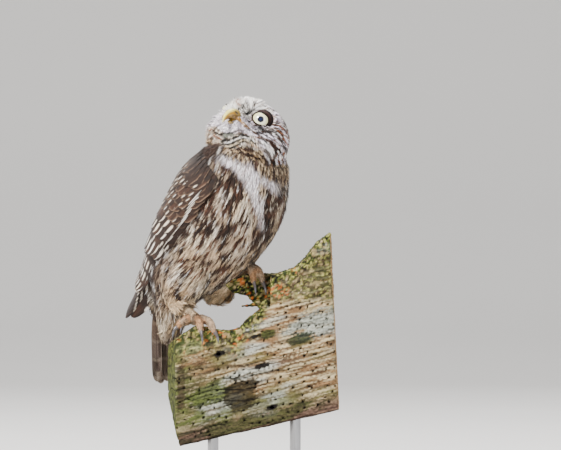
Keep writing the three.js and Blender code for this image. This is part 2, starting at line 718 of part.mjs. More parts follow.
const trunkCore = trunk(GAP - LEG_SEAT);
const limbs = {};
for (const [name, leg] of Object.entries(LEGS)) {
  const foot = TOES[name].map((toe) => toeSolid(leg, toe, 0));
  const footGrown = joined(TOES[name].map((toe) => toeSolid(leg, toe, GAP)));
  const grown = joined([legSolid(leg, GAP), footGrown]);
  limbs[name] = {
    leg: legSolid(leg, 0).subtract(footGrown).subtract(trunkCore).subtract(timberGrown),
    foot: joined(foot).subtract(trunkCore).subtract(timberGrown),
    claws: TOES[name].map((toe) =>
      clawSolid(leg, toe).subtract(grown).subtract(timberGrown).subtract(trunkGrown),
    ),
    grown,
  };
}
const whole = trunk(0)
  .subtract(timberGrown)
  .subtract(limbs.left.grown)
  .subtract(limbs.right.grown);

const torso = whole.trimByPlane(neckNormal.clone().negate().toArray(), -neckOffset);
const neck = whole.trimByPlane(neckNormal.toArray(), neckOffset + GAP).subtract(headGrown);

owl.add(meshOf("torso", torso, MATERIALS.flank));
owl.add(meshOf("neck", neck, MATERIALS.plumage));
owl.add(meshOf("head", headSolid(), MATERIALS.plumage));
owl.add(meshOf("bill_upper", billUpper(), MATERIALS.bill));
owl.add(meshOf("bill_lower", bill.lower.subtract(bill.upperGrown), MATERIALS.bill));
owl.add(meshOf("tail", tail(), MATERIALS.plumage));

for (const [name, side] of [["left", 1], ["right", -1]]) {
  owl.add(meshOf(`eye_${name}`, eyeGlobe(side, EYE_RADIUS), MATERIALS.eye));
  owl.add(meshOf(`wing_${name}`, wing(side), MATERIALS.plumage));
  owl.add(meshOf(`leg_${name}`, limbs[name].leg, MATERIALS.leg));
  owl.add(meshOf(`foot_${name}`, limbs[name].foot, MATERIALS.leg));
  TOES[name].forEach((toe, i) => {
    owl.add(meshOf(`claw_${name}_${toe.name}`, limbs[name].claws[i], MATERIALS.claw));
  });
}

const model = new THREE.Group();
model.add(owl);
model.add(meshOf("perch_timber", timber(0).subtract(joined(KNOTS.map(knotHole))), MATERIALS.timber));
model.add(meshOf("stand_base", baseSolid(), MATERIALS.base));
ROD.places.forEach((x, i) => model.add(meshOf(`stand_rod_${i + 1}`, rodSolid(x), MATERIALS.rod)));

export default model;
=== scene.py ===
"""The little owl's skin, feathers, eyes, bill, claws, timber and stand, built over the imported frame.

Lengths are in millimetres in the owl's own frame (x forward, y to its left, z up) until to_world turns them
into metres in the frame's axes.
"""

import math
from types import SimpleNamespace

import bpy
import numpy as np
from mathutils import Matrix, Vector
from mathutils.bvhtree import BVHTree


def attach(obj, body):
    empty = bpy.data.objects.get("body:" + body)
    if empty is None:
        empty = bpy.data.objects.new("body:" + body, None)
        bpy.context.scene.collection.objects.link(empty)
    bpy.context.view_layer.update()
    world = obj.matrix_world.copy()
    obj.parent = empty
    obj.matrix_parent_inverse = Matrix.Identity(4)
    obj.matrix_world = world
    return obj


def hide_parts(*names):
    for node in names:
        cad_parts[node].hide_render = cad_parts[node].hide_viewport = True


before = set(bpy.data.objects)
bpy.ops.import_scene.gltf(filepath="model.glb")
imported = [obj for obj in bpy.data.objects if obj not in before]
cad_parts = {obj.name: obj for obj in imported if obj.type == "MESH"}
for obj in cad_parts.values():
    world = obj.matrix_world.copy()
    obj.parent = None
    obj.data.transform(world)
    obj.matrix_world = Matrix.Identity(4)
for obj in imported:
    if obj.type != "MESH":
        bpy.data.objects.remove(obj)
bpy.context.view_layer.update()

# The photograph's picture: size in pixels, millimetres to a pixel, and the place of its middle
PICTURE_WIDTH = 561
PIXEL = 0.73
PICTURE_MIDDLE = (33.2, 200.75)
CAMERA_DISTANCE = 3.0
SENSOR = 36.0

# Owl frame, as the part's source has it
BODY_PLACE = np.array([-9.5, 0.0, 198.6])
BODY_TURN = math.radians(-40)

TRUNK_SPINE = [
    [-52.5, 0, -82], [-50, 0, -68], [-48, 0, -50], [-37, 0, -30],
    [-12, 0, -6], [8, 0, 20], [19, 0, 44], [24, 0, 62],
]
TRUNK_RADII = [
    [2, 3, 3], [5.5, 10, 10.5], [12, 19, 18], [27, 30, 30],
    [38, 38.5, 38], [39, 42, 41], [33, 37, 36], [28, 30, 30],
]

HEAD_PLACE = np.array([26.3, 0.0, 66.2])
HEAD_TURN = math.radians(-83)
HEAD_LIFT = math.radians(42)
HEAD_TILT = math.radians(-14)
HEAD_FRONT, HEAD_BACK, HEAD_SIDE, HEAD_TOP, HEAD_BOTTOM = 27.5, 30.0, 31.5, 27.0, 26.0
# Swellings and hollows: direction (forward, side, up), reach, height
HEAD_FORMS = [
    ((0.68, 0.5, 0.54), 0.34, 3.2),
    ((0.72, 0.67, 0.16), 0.28, -2.0),
    ((0.3, 0.88, -0.36), 0.42, 2.2),
    ((0.6, 0.5, -0.62), 0.34, 2.0),
    ((0.98, 0.0, -0.1), 0.34, 1.6),
]
EYE_PLACE = np.array([14.2, 15.2, 5.4])
EYE_RADIUS = 7.8
EYE_AXIS = np.array([0.85, 0.52, -0.06])
BILL_UPPER = [
    [17.5, -1.6, 6.2, 5.6], [24, -1.8, 5.6, 5.0], [28.2, -4.4, 4.2, 3.7],
    [30, -8.6, 2.5, 2.2], [29.2, -13.4, 0.45, 0.45],
]
NOSTRIL = np.array([27.4, 3.5, -1.1])

WING_START = np.array([14.0, 0.0, 34.0])
WING_END = np.array([-93.5, 0.0, -68.5])
WING_RADII = [
    [39.5, 31, 0], [42.6, 31, 0], [41.5, 26.5, 0], [37.5, 22.5, 0],
    [30, 17.5, 0], [20, 12.5, 0], [13, 9, 0], [9, 7, 0],
]
WING_FRONT = -8.0
WING_UPPER_EDGE = [[60], [32], [22], [16], [12], [12], [20], [40]]
WING_LOWER_EDGE = [[78], [110], [114], [112], [107], [101], [95], [85]]

TAIL_ROOT = np.array([-56.8, 0.0, -44.0])
TAIL_TIP = np.array([-55.5, 0.0, -115.0])
TAIL_STUMP = [[-54, -30, 9, 6], [-59.5, -44, 9, 5.5], [-60.2, -63, 5.5, 1.2]]

LEGS = {
    "right": {"hip": (-2, -17, -16), "heel": (-29, -18, -53), "ankle": (-7.5, -22, -66), "sole": -71.6},
    "left": {"hip": (4, 18, -12), "heel": (-17.5, 11.5, -52.6), "ankle": (11, 13.8, -29.5), "sole": -34.6},
}
THIGH = [8, 12.5, 6.5]
# Share of the way down thigh and shin where the middle radius stands
THIGH_SHARE = 0.45
SHIN_SHARE = 0.55
TARSUS = [5.4, 4.4, 5.2]
# Toes: heading in degrees, length and drop
TOES = {
    "right": {"inner": (2, 19, 7.5), "middle": (-30, 15, 7.5), "outer": (-112, 14, 4), "hind": (172, 11, 2)},
    "left": {"inner": (-24, 14, 9), "middle": (0, 16.5, 9), "outer": (84, 12, 6), "hind": (150, 13, 9)},
}
TOE_RADIUS = 3.3
CLAW_RADIUS = 1.55
CLAW_LENGTH = 10.5
# A claw leaves its toe bent up by the first angle and ends pointing down at the second
CLAW_RISE = math.radians(18)
CLAW_END = math.radians(98)

# Depth of the coat over the skin
TRUNK_COAT = 6.0
HEAD_COAT = 4.2
LEG_COAT = 1.2
TOE_COAT = 0.7
SKIN_VOXEL = 0.0011
TIMBER_VOXEL = 0.0009
# Points worked on at once where each is compared with many places
BLOCK = 20000


def srgb(red, green, blue):
    """A colour as seen, from 0 to 255, as linear light."""
    c = np.array([red, green, blue]) / 255
    return np.where(c <= 0.04045, c / 12.92, ((c + 0.055) / 1.055) ** 2.4)


WHITE = srgb(250, 246, 242)
LILAC = srgb(238, 228, 240)
CREAM = srgb(226, 206, 174)
BUFF = srgb(188, 152, 108)
RUFOUS = srgb(138, 84, 56)
BROWN = srgb(68, 46, 34)
CHOCOLATE = srgb(36, 24, 19)
DARK = srgb(11, 8, 7)
GREY_GREEN = srgb(112, 114, 104)
PINK = srgb(214, 180, 160)
ORANGE = srgb(196, 138, 84)


# Numbers and curves


def unit(v):
    return v / np.maximum(np.linalg.norm(v, axis=-1, keepdims=True), 1e-9)


def mix(a, b, share):
    share = np.asarray(share, float)[..., None]
    return a * (1 - share) + b * share


def step(low, high, x):
    """0 below low, 1 above high, smooth between."""
    t = np.clip((np.asarray(x, float) - low) / (high - low), 0, 1)
    return t * t * (3 - 2 * t)


def hashed(i, j, k, seed):
    """A number from 0 to 1 for each whole-number place."""
    n = (i * 374761393 + j * 668265263 + k * 1440662683 + seed * 1274126177) & 0xFFFFFFFF
    n = ((n ^ (n >> 13)) * 1274126177) & 0xFFFFFFFF
    n = n ^ (n >> 16)
    return (n & 0xFFFFFF) / 0xFFFFFF


def noise(points, size, seed=0):
    """Smooth noise from 0 to 1 with lumps of the given size."""
    p = np.asarray(points, float) / size
    base = np.floor(p).astype(np.int64)
    f = p - base
    f = f * f * (3 - 2 * f)
    total = np.zeros(len(p))
    for dx in (0, 1):
        for dy in (0, 1):
            for dz in (0, 1):
                share = np.where(dx, f[:, 0], 1 - f[:, 0])
                share = share * np.where(dy, f[:, 1], 1 - f[:, 1])
                share = share * np.where(dz, f[:, 2], 1 - f[:, 2])
                total += share * hashed(base[:, 0] + dx, base[:, 1] + dy, base[:, 2] + dz, seed)
    return total


def layered_noise(points, size, seed=0, layers=3):
    total, weight = 0.0, 0.0
    for layer in range(layers):
        total = total + noise(points, size / 2**layer, seed + layer) / 2**layer
        weight += 1 / 2**layer
    return total / weight


def curve(rows, t):
    """Smooth curve through evenly spaced rows, read at t from 0 to 1."""
    rows = np.asarray(rows, float)
    t = np.clip(np.asarray(t, float), 0, 1)
    last = len(rows) - 1
    place = t * last
    i = np.minimum(place.astype(int), last - 1)
    w = (place - i)[..., None]
    padded = np.vstack([2 * rows[0] - rows[1], rows, 2 * rows[-1] - rows[-2]])
    a, b, c, d = padded[i], padded[i + 1], padded[i + 2], padded[i + 3]
    start, end = 0.5 * (c - a), 0.5 * (d - b)
    cubic = (2 * b - 2 * c + start + end) * w**3
    return cubic + (-3 * b + 3 * c - 2 * start - end) * w**2 + start * w + b


def read_off(rows, x, column=1):
    """A column of a list of rows, read at x in the first column."""
    rows = np.array(rows, float)
    return np.interp(x, rows[:, 0], rows[:, column])


def slope(rows, t):
    """Unit direction of the curve at t."""
    return unit(curve(rows, np.asarray(t) + 1e-3) - curve(rows, np.asarray(t) - 1e-3))


def to_world(points):
    """Owl frame in millimetres to the part's frame in metres."""
    p = np.asarray(points, float)
    c, s = math.cos(BODY_TURN), math.sin(BODY_TURN)
    x = c * p[..., 0] - s * p[..., 1]
    y = s * p[..., 0] + c * p[..., 1]
    return (np.stack([x, y, p[..., 2]], -1) + BODY_PLACE) / 1000


def head_axes():
    ahead = np.array([math.cos(HEAD_TURN), math.sin(HEAD_TURN), 0])
    forward = ahead * math.cos(HEAD_LIFT) + np.array([0, 0, math.sin(HEAD_LIFT)])
    level = np.array([-math.sin(HEAD_TURN), math.cos(HEAD_TURN), 0])
    left = level * math.cos(HEAD_TILT) + np.cross(forward, level) * math.sin(HEAD_TILT)
    return np.column_stack([forward, left, np.cross(forward, left)])


HEAD_AXES = head_axes()


def from_head(points):
    return HEAD_PLACE + np.asarray(points, float) @ HEAD_AXES.T


def to_head(points):
    return (np.asarray(points, float) - HEAD_PLACE) @ HEAD_AXES


def mirrored(v, side):
    return np.asarray(v, float) * np.array([1, side, 1])


def head_reach(direction):
    """Distance from the head's centre to the coat's outside, in unit directions of the head frame."""
    x, y, z = direction[:, 0], direction[:, 1], direction[:, 2]
    length = np.where(x > 0, HEAD_FRONT, HEAD_BACK)
    height = np.where(z > 0, HEAD_TOP, HEAD_BOTTOM)
    reach = 1 / np.sqrt((x / length) ** 2 + (y / HEAD_SIDE) ** 2 + (z / height) ** 2)
    for to, spread, rise in HEAD_FORMS:
        for side in (1, -1) if to[1] else (1,):
            away = np.arccos(np.clip(direction @ unit(mirrored(to, side)), -1, 1)) / spread
            reach = reach + rise * np.exp(-away * away)
    return reach


def bill_angles(local):
    """Degrees away from the bill's line, round it from the top leftwards, and from the top either way."""
    d = unit(local)
    alpha = np.degrees(np.arccos(np.clip(d[:, 0], -1, 1)))
    beta = np.degrees(np.arctan2(d[:, 1], d[:, 2])) % 360
    return alpha, beta, np.minimum(beta, 360 - beta)


# Meshes


def loft(rings, closed_ends=True):
    """Points and faces of a skin through rings of equal length."""
    count, sides = rings.shape[:2]
    points = rings.reshape(-1, 3)
    r, i = np.meshgrid(np.arange(count - 1), np.arange(sides), indexing="ij")
    after = (i + 1) % sides
    quads = np.stack([r * sides + i, r * sides + after, (r + 1) * sides + after, (r + 1) * sides + i], -1)
    faces = quads.reshape(-1, 4).tolist()
    if closed_ends:
        faces.append(list(range(sides))[::-1])
        faces.append(list(range((count - 1) * sides, count * sides)))
    return points, faces


def frames_along(path, steps, reference=(0, 1, 0)):
    """Places along a path with directions across and up."""
    t = np.linspace(0, 1, steps)
    tangent = slope(path, t)
    up = unit(np.cross(tangent, np.array(reference, float)))
    return curve(path, t), np.cross(up, tangent), up, t


def round_section(centre, across, up, wide, high, sides):
    angle = np.linspace(0, 2 * math.pi, sides, endpoint=False)
    ring = centre[:, None] + up[:, None] * (np.cos(angle)[None, :, None] * high[:, None, None])
    return ring + across[:, None] * (np.sin(angle)[None, :, None] * wide[:, None, None])


def limb(path, radii, steps, sides, reference=(0, 1, 0)):
    centre, across, up, t = frames_along(path, steps, reference)
    thick = curve([[r, r] if np.isscalar(r) else r for r in radii], t)
    return loft(round_section(centre, across, up, thick[:, 0], thick[:, 1], sides))


def merged(parts):
    points, faces, start = [], [], 0
    for p, f in parts:
        points.append(p)
        faces += [[i + start for i in face] for face in f]
        start += len(p)
    return np.vstack(points), faces


def add_mesh(name, points, faces, material=None, smooth=True):
    """A mesh object in metres."""
    mesh = bpy.data.meshes.new(name)
    if isinstance(faces, np.ndarray):
        sizes = np.full(len(faces), faces.shape[1])
        flat = faces.ravel()
    else:
        sizes = np.array([len(f) for f in faces])
        flat = np.array([i for f in faces for i in f])
    mesh.vertices.add(len(points))
    mesh.vertices.foreach_set("co", np.asarray(points, np.float32).ravel())
    mesh.loops.add(len(flat))
    mesh.loops.foreach_set("vertex_index", flat.astype(np.int32))
    mesh.polygons.add(len(sizes))
    mesh.polygons.foreach_set("loop_start", np.concatenate([[0], np.cumsum(sizes)[:-1]]).astype(np.int32))
    mesh.update(calc_edges=True)
    mesh.polygons.foreach_set("use_smooth", np.full(len(sizes), smooth))
    mesh.update()
    made = bpy.data.objects.new(name, mesh)
    bpy.context.scene.collection.objects.link(made)
    if material is not None:
        mesh.materials.append(material)
    return made


def paint_points(made, colours, name="Tint"):
    layer = made.data.color_attributes.new(name, "FLOAT_COLOR", "POINT")
    rgba = np.ones((len(made.data.vertices), 4), np.float32)
    rgba[:, :3] = colours
    layer.data.foreach_set("color", rgba.ravel())
    made.data.color_attributes.active_color = layer


def declared(made, slot, *replaced):
    """Says what a piece rides on and which nodes it stands for; the slot it is given is not used."""
    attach(made, "root")
    if replaced:
        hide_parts(*replaced)
    return made


def painted_piece(name, points, faces, material, colours, slot, *replaced):
    made = add_mesh(name, points, faces, material)
    paint_points(made, colours)
    return declared(made, slot, *replaced)


def points_of(mesh):
    flat = np.zeros(len(mesh.vertices) * 3, np.float32)
    mesh.vertices.foreach_get("co", flat)
    return flat.reshape(-1, 3).astype(float)


def normals_of(mesh):
    flat = np.zeros(len(mesh.vertices) * 3, np.float32)
    mesh.vertex_normals.foreach_get("vector", flat)
    return flat.reshape(-1, 3).astype(float)


def remeshed(made, voxel, rounds=2):
    """The union of an object's closed surfaces, as one even skin."""
    remesh = made.modifiers.new("one skin", "REMESH")
    remesh.mode = "VOXEL"
    remesh.voxel_size = voxel
    soften = made.modifiers.new("soften", "SMOOTH")
    soften.factor = 0.5
    soften.iterations = rounds
    evaluated = made.evaluated_get(bpy.context.evaluated_depsgraph_get())
    mesh = bpy.data.meshes.new_from_object(evaluated)
    made.modifiers.clear()
    old = made.data
    made.data = mesh
    bpy.data.meshes.remove(old)
    return made


# Materials


def shader(name, roughness, coat=0.0, specular=0.4, sheen=0.0, metallic=0.0):
    material = bpy.data.materials.new(name)
    material.use_nodes = True
    nodes, links = material.node_tree.nodes, material.node_tree.links
    surface = nodes["Principled BSDF"]
    surface.inputs["Roughness"].default_value = roughness
    surface.inputs["Coat Weight"].default_value = coat
    surface.inputs["Coat Roughness"].default_value = 0.06
    surface.inputs["Specular IOR Level"].default_value = specular
    surface.inputs["Sheen Weight"].default_value = sheen
    surface.inputs["Metallic"].default_value = metallic
    return material, nodes, links, surface


def node(nodes, kind, **values):
    made = nodes.new(kind)
    for key, value in values.items():
        if key in made.inputs:
            made.inputs[key].default_value = value
        else:
            setattr(made, key, value)
    return made


def math_node(nodes, links, operation, first, second=0.5):
    made = nodes.new("ShaderNodeMath")
    made.operation = operation
    for slot, value in enumerate((first, second)):
        if isinstance(value, bpy.types.NodeSocket):
            links.new(value, made.inputs[slot])
        else:
            made.inputs[slot].default_value = value
    return made.outputs[0]


def blend_node(nodes, links, share, first, second, kind="MIX"):
    made = nodes.new("ShaderNodeMix")
    made.data_type = "RGBA"
    made.blend_type = kind
    for socket, value in ((made.inputs[0], share), (made.inputs[6], first), (made.inputs[7], second)):
        if isinstance(value, bpy.types.NodeSocket):
            links.new(value, socket)
        elif np.isscalar(value):
            socket.default_value = value
        else:
            socket.default_value = (*value, 1.0)
    return made.outputs[2]


def add_bump(nodes, links, surface, height, distance, strength=1.0):
    bump = nodes.new("ShaderNodeBump")
    bump.inputs["Distance"].default_value = distance
    bump.inputs["Strength"].default_value = strength
    links.new(height, bump.inputs["Height"])
    links.new(bump.outputs["Normal"], surface.inputs["Normal"])


def noise_node(nodes, links, place, scale, detail=4.0, roughness=0.6):
    made = node(nodes, "ShaderNodeTexNoise", Scale=scale, Detail=detail, Roughness=roughness)
    links.new(place, made.inputs["Vector"])
    return made.outputs["Fac"]


def stretched(nodes, links, scale, turn=(0.0, 0.0, 0.0)):
    """Object coordinates, turned and then stretched."""
    place = nodes.new("ShaderNodeTexCoord")
    mapping = node(nodes, "ShaderNodeMapping", Scale=scale, Rotation=turn)
    links.new(place.outputs["Object"], mapping.inputs["Vector"])
    return mapping.outputs["Vector"]


def tint_of(nodes):
    """The colour painted on the mesh."""
    return node(nodes, "ShaderNodeAttribute", attribute_name="Tint").outputs["Color"]


def shaded(nodes, links, colour, value, low, high):
    """The colour made darker and lighter, from low to high, by a noise value."""
    span = {"From Min": 0.3, "From Max": 0.7, "To Min": low, "To Max": high}
    shade = node(nodes, "ShaderNodeMapRange", **span)
    links.new(value, shade.inputs["Value"])
    scaled = nodes.new("ShaderNodeVectorMath")
    scaled.operation = "SCALE"
    links.new(colour, scaled.inputs[0])
    links.new(shade.outputs["Result"], scaled.inputs["Scale"])
    return scaled.outputs["Vector"]


def feather_material(name, roughness, variation, grain):
    """Painted feathers, with fine light and dark from strand to strand."""
    material, nodes, links, surface = shader(name, roughness, specular=0.25, sheen=0.12)
    fine = noise_node(nodes, links, stretched(nodes, links, (1, 1, 1)), grain, 3.0)
    colour = shaded(nodes, links, tint_of(nodes), fine, 1 - variation, 1 + variation)
    links.new(colour, surface.inputs["Base Color"])
    add_bump(nodes, links, surface, fine, 0.0002, 0.5)
    return material


COAT = feather_material("coat", 0.78, 0.2, 900.0)
# Material of the skin under the tufts and of the wings' under-layers, whose painted colours are darkened as
# shade
SHADED_UNDERLAYER = feather_material("down", 0.85, 0.25, 700.0)


# The body's own shape


def trunk_place(points):
    """Share of the way up the spine, degrees round from the back's middle (the right side is above 180),
    mm down from the neck, and the way down the body."""
    t = np.linspace(0, 1, 161)
    spine = curve(TRUNK_SPINE, t)
    tangent = slope(TRUNK_SPINE, t)
    best = np.zeros(len(points), int)
    for start in range(0, len(points), BLOCK):
        block = points[start : start + BLOCK]
        # A place belongs to the ring whose plane it lies nearest to, among rings it is close to
        offset = block[:, None, [0, 2]] - spine[None, :, [0, 2]]
        away = np.abs((offset * tangent[None, :, [0, 2]]).sum(-1)) + 0.12 * np.linalg.norm(offset, axis=-1)
        best[start : start + BLOCK] = away.argmin(1)
    down = np.concatenate([[0], np.cumsum(np.linalg.norm(np.diff(spine, axis=0), axis=1))])
    offset = points - spine[best]
    back = np.stack([-tangent[best, 2], np.zeros(len(points)), tangent[best, 0]], -1)
    angle = np.degrees(np.arctan2(offset[:, 1], (offset * back).sum(-1))) % 360
    return t[best], angle, down[-1] - down[best], -tangent[best]


def trunk_rings(shrink):
    t = np.linspace(0, 1, 60)
    tangent = slope(TRUNK_SPINE, t)
    centre = curve(TRUNK_SPINE, t)
    radii = curve(TRUNK_RADII, t)
    radii = np.maximum(radii - np.minimum(shrink, radii * 0.35), 0.5)
    back = np.stack([-tangent[:, 2], 0 * t, tangent[:, 0]], -1)
    angle = np.linspace(0, 2 * math.pi, 72, endpoint=False)
    lift = np.where(np.cos(angle)[None] > 0, radii[:, :1], radii[:, 1:2]) * np.cos(angle)[None]
    rings = centre[:, None] + back[:, None] * lift[..., None]
    rings = rings + np.array([0, 1, 0]) * (np.sin(angle)[None] * radii[:, 2:3])[..., None]
    return loft(rings)


def sphere_directions(sides, rings):
    polar = np.linspace(0.01, math.pi - 0.01, rings)
    angle = np.linspace(0, 2 * math.pi, sides, endpoint=False)
    p, a = np.meshgrid(polar, angle, indexing="ij")
    return np.stack([np.sin(p) * np.cos(a), np.sin(p) * np.sin(a), np.cos(p)], -1)


def head_ball(shrink):
    directions = sphere_directions(72, 48)
    reach = head_reach(directions.reshape(-1, 3)) - shrink
    points = from_head(directions.reshape(-1, 3) * reach[:, None])
    return loft(points.reshape(directions.shape))


def leg_parts(leg, shrink):
    hip, heel, ankle = (np.array(leg[k], float) for k in ("hip", "heel", "ankle"))
    thigh = limb([hip, hip + (heel - hip) * THIGH_SHARE, heel], [r - shrink for r in THIGH], 20, 28)
    shin = limb([heel, heel + (ankle - heel) * SHIN_SHARE, ankle], [r - shrink for r in TARSUS], 18, 24)
    return [thigh, shin]


def toe_path(leg, toe):
    heading, length, drop = toe
    ankle = np.array(leg["ankle"], float)
    way = np.array([math.cos(math.radians(heading)), math.sin(math.radians(heading)), 0])
    base = leg["sole"] + TOE_RADIUS
    heights = [ankle[2] - 1, base + 2, base + 0.3, base - drop]
    shares = [0, 0.3, 0.72, 1]
    spots = [np.array([ankle[0], ankle[1], h]) + way * length * s for s, h in zip(shares, heights)]
    return np.array(spots), way


def toe_part(leg, toe, shrink):
    path, way = toe_path(leg, toe)
    radii = [TOE_RADIUS * k - shrink for k in (1.15, 1.05, 1.0, 0.62)]
    t = np.linspace(0, 1, 22)
    across = np.cross(way, [0, 0, 1])
    tangent = slope(path, t)
    up = unit(np.cross(across, tangent))
    thick = curve([[r, 0] for r in radii], t)[:, 0]
    # Pads under the joints
    thick = thick * (1 + 0.07 * np.cos(t * 5 * math.pi))
    sides = np.repeat(across[None], len(t), 0)
    return loft(round_section(curve(path, t), sides, up, thick, thick, 20))


def skin_parts():
    parts = [trunk_rings(TRUNK_COAT), head_ball(HEAD_COAT)]
    stump = [[x, 0, z] for x, z, _, _ in TAIL_STUMP]
    parts.append(limb(stump, [[wide - 2, max(deep - 2, 0.8)] for _, _, wide, deep in TAIL_STUMP], 16, 24))
    for name, leg in LEGS.items():
        parts += leg_parts(leg, LEG_COAT)
        parts += [toe_part(leg, toe, TOE_COAT) for toe in TOES[name].values()]
    return parts


# Skin round each eye: reach of the globe's seat, and where the hollow round it begins and ends
SEAT_REACH = 7.4
HOLLOW = (8.5, 13.5)


def eye_bowls(points):
    """Sets the skin back around each eye, so that the globe sits in a shallow bowl."""
    local = to_head(points)
    for side in (1, -1):
        centre, axis = mirrored(EYE_PLACE, side), unit(mirrored(EYE_AXIS, side))
        offset = local - centre
        ahead = offset @ axis
        away = np.linalg.norm(offset - ahead[:, None] * axis, axis=1)
        globe = np.sqrt(np.maximum(EYE_RADIUS**2 - away**2, 0)) - 1.0
        seat = np.where(away < SEAT_REACH, globe, 2.0 + (away - SEAT_REACH) * 0.75)
        share = (1 - step(*HOLLOW, away)) * (ahead > -2)
        target = np.minimum(ahead, seat)
        local = local + ((target - ahead) * share)[:, None] * axis
    return from_head(local)


def make_skin():
    """One skin over head, neck, trunk, legs and feet, with its points in the owl's frame."""
    points, faces = merged(skin_parts())
    made = add_mesh("skin", points / 1000, faces)
    made = remeshed(made, SKIN_VOXEL)
    shaped = eye_bowls(points_of(made.data) * 1000)
    made.data.vertices.foreach_set("co", shaped.astype(np.float32).ravel())
    made.data.update()
    return made, shaped


skin, skin_points = make_skin()
skin.data.calc_loop_triangles()
triangles = np.zeros(len(skin.data.loop_triangles) * 3, np.int32)
skin.data.loop_triangles.foreach_get("vertices", triangles)
triangles = triangles.reshape(-1, 3)
SKIN_TREE = BVHTree.FromPolygons(skin_points.tolist(), triangles.tolist())
skin.data.vertices.foreach_set("co", to_world(skin_points).astype(np.float32).ravel())
skin.data.update()


# Eyes and lids


def eye_axes(side, axis=EYE_AXIS):
    axis = unit(mirrored(axis, side))
    level = unit(np.cross([0, 0, 1], axis))
    return axis, level, np.cross(axis, level)


IRIS_RADIUS = 6.4
PUPIL_RADIUS = 2.3
# Way the pupil points, a little lower than the middle of the lids
GAZE = np.array([0.74, 0.615, -0.265])
# Where the lids leave the globe
GLOBE_EDGE = 7.3
# Opening of the lids as the photograph shows it: degrees round the eye, inner and outer edge of the dark rim
LID_SHAPE = [
    (0, 6.2, 8.3), (30, 5.2, 9.2), (60, 3.7, 9.4), (95, 3.2, 9.2), (150, 4.1, 8.4), (185, 5.6, 7.2),
    (215, 5.4, 6.2), (260, 5.2, 5.9), (300, 5.3, 6.0), (330, 6.2, 7.2), (345, 6.3, 7.9), (360, 6.2, 8.3),
]


def make_eye(side, name):
    """A globe with its pole at the pupil: rings closely spaced over the pupil and iris."""
    axis, level, up = eye_axes(side, GAZE)
    edge = math.asin(IRIS_RADIUS / EYE_RADIUS)
    polar = np.concatenate([np.linspace(0.012, edge, 32), np.linspace(edge + 0.03, math.pi - 0.02, 26)])
    angle = np.linspace(0, 2 * math.pi, 80, endpoint=False)
    p, a = np.meshgrid(polar, angle, indexing="ij")
    # The clear front stands out a little over the iris
    reach = EYE_RADIUS * (1 + 0.02 * (1 - step(edge * 0.2, edge * 1.05, p)))
    out, rise = np.sin(p) * np.cos(a) * reach, np.sin(p) * np.sin(a) * reach
    rings = axis * (np.cos(p) * reach)[..., None] + level * out[..., None] + up * rise[..., None]
    points, faces = loft(rings)
    flat = EYE_RADIUS * np.sin(p).ravel()
    front = (p < math.pi / 2).ravel()
    fibres = noise(np.stack([a.ravel() * 14, flat * 1.1, 0 * flat], -1), 1.0, 5)
    iris = mix(srgb(246, 244, 196), srgb(226, 220, 150), np.clip(fibres * 0.8 + 0.1, 0, 1))
    iris = mix(iris, srgb(248, 248, 232), 0.45 * step(4.6, 3.0, flat))
    iris = mix(iris, srgb(120, 108, 62), 0.75 * step(IRIS_RADIUS - 0.9, IRIS_RADIUS - 0.1, flat))
    # The pupil is blue-black, with a painted reflection of the sky that makes it bluer towards its middle
    pupil = mix(srgb(10, 12, 30), srgb(22, 36, 84), step(1.4, 0.2, flat) * 0.6)
    colour = mix(pupil, iris, step(PUPIL_RADIUS - 0.12, PUPIL_RADIUS + 0.16, flat))
    colour = np.where((flat > IRIS_RADIUS)[:, None] | ~front[:, None], srgb(26, 20, 16), colour)
    placed = to_world(from_head(mirrored(EYE_PLACE, side) + points))
    painted_piece(f"eye_{name}_globe", placed, faces, EYE, colour, "eye", f"eye_{name}")


def lid_edges(angle):
    """Inner and outer edge of the dark rim at each place round the eye, softened over 28 degrees."""
    degrees = np.degrees(angle) % 360
    near = [(degrees + d) % 360 for d in (-14, -7, 0, 7, 14)]
    return [np.stack([read_off(LID_SHAPE, n, column) for n in near]).mean(0) for column in (1, 2)]


def lid_point(side, radius, angle, ahead):
    axis, level, up = eye_axes(side)
    # The far eye is the mirror of the near one
    turned = level * (side * np.cos(angle) * radius)[..., None] + up * (np.sin(angle) * radius)[..., None]
    return mirrored(EYE_PLACE, side) + axis * ahead[..., None] + turned


def globe_height(radius, angle):
    """Height over the globe's middle, with the lids' slope beyond it, gentler under the brow."""
    fall = 1.25 - 0.75 * np.maximum(np.sin(angle), 0)
    globe = np.sqrt(np.maximum(EYE_RADIUS**2 - np.minimum(radius, GLOBE_EDGE) ** 2, 0))
    return globe - np.maximum(radius - GLOBE_EDGE, 0) * fall


def make_lids(side, name):
    """Dark bare rims of the lids, lying on the globe, and the feathered skin that runs on from them."""
    angle = np.linspace(0, 2 * math.pi, 120, endpoint=False)
    inner, dark = lid_edges(angle)
    upper = np.maximum(np.sin(angle + 0.1), 0)
    rows, tints = [], []
    wide = dark - inner
    rim = [(-0.25, -0.45), (0.0, 0.26), (0.2, 0.55), (0.5, 0.66), (0.8, 0.5), (1.0, 0.28)]
    for share, lift in rim:
        radius = inner + wide * share
        wrinkle = 0.05 * np.sin(angle * 23) * (0.1 < share < 0.9)
        height = globe_height(radius, angle) + lift * (0.8 + 0.75 * upper)
        rows.append(lid_point(side, radius, angle, height + wrinkle))
        tint = mix(srgb(34, 20, 16), srgb(13, 8, 7), np.full(len(angle), share < 0.15 or share > 0.7))
        tints.append(mix(tint, srgb(84, 44, 32), 0.4 * upper * (share == 0.5)))
    last = np.maximum(dark, 8.3) + 0.4
    for share in (0.12, 0.4, 0.7, 1.0):
        radius = dark + (last - dark) * share
        height = globe_height(radius, angle) + 0.35 - 1.1 * share**3
        rows.append(lid_point(side, radius, angle, height))
        tints.append(mix(srgb(196, 176, 168), srgb(120, 92, 80), noise(rows[-1], 1.2, 12)))
    points, faces = loft(np.array(rows), closed_ends=False)
    painted_piece(f"eye_{name}_lids", to_world(from_head(points)), faces, LIDS, np.vstack(tints), "claw")


# Bill


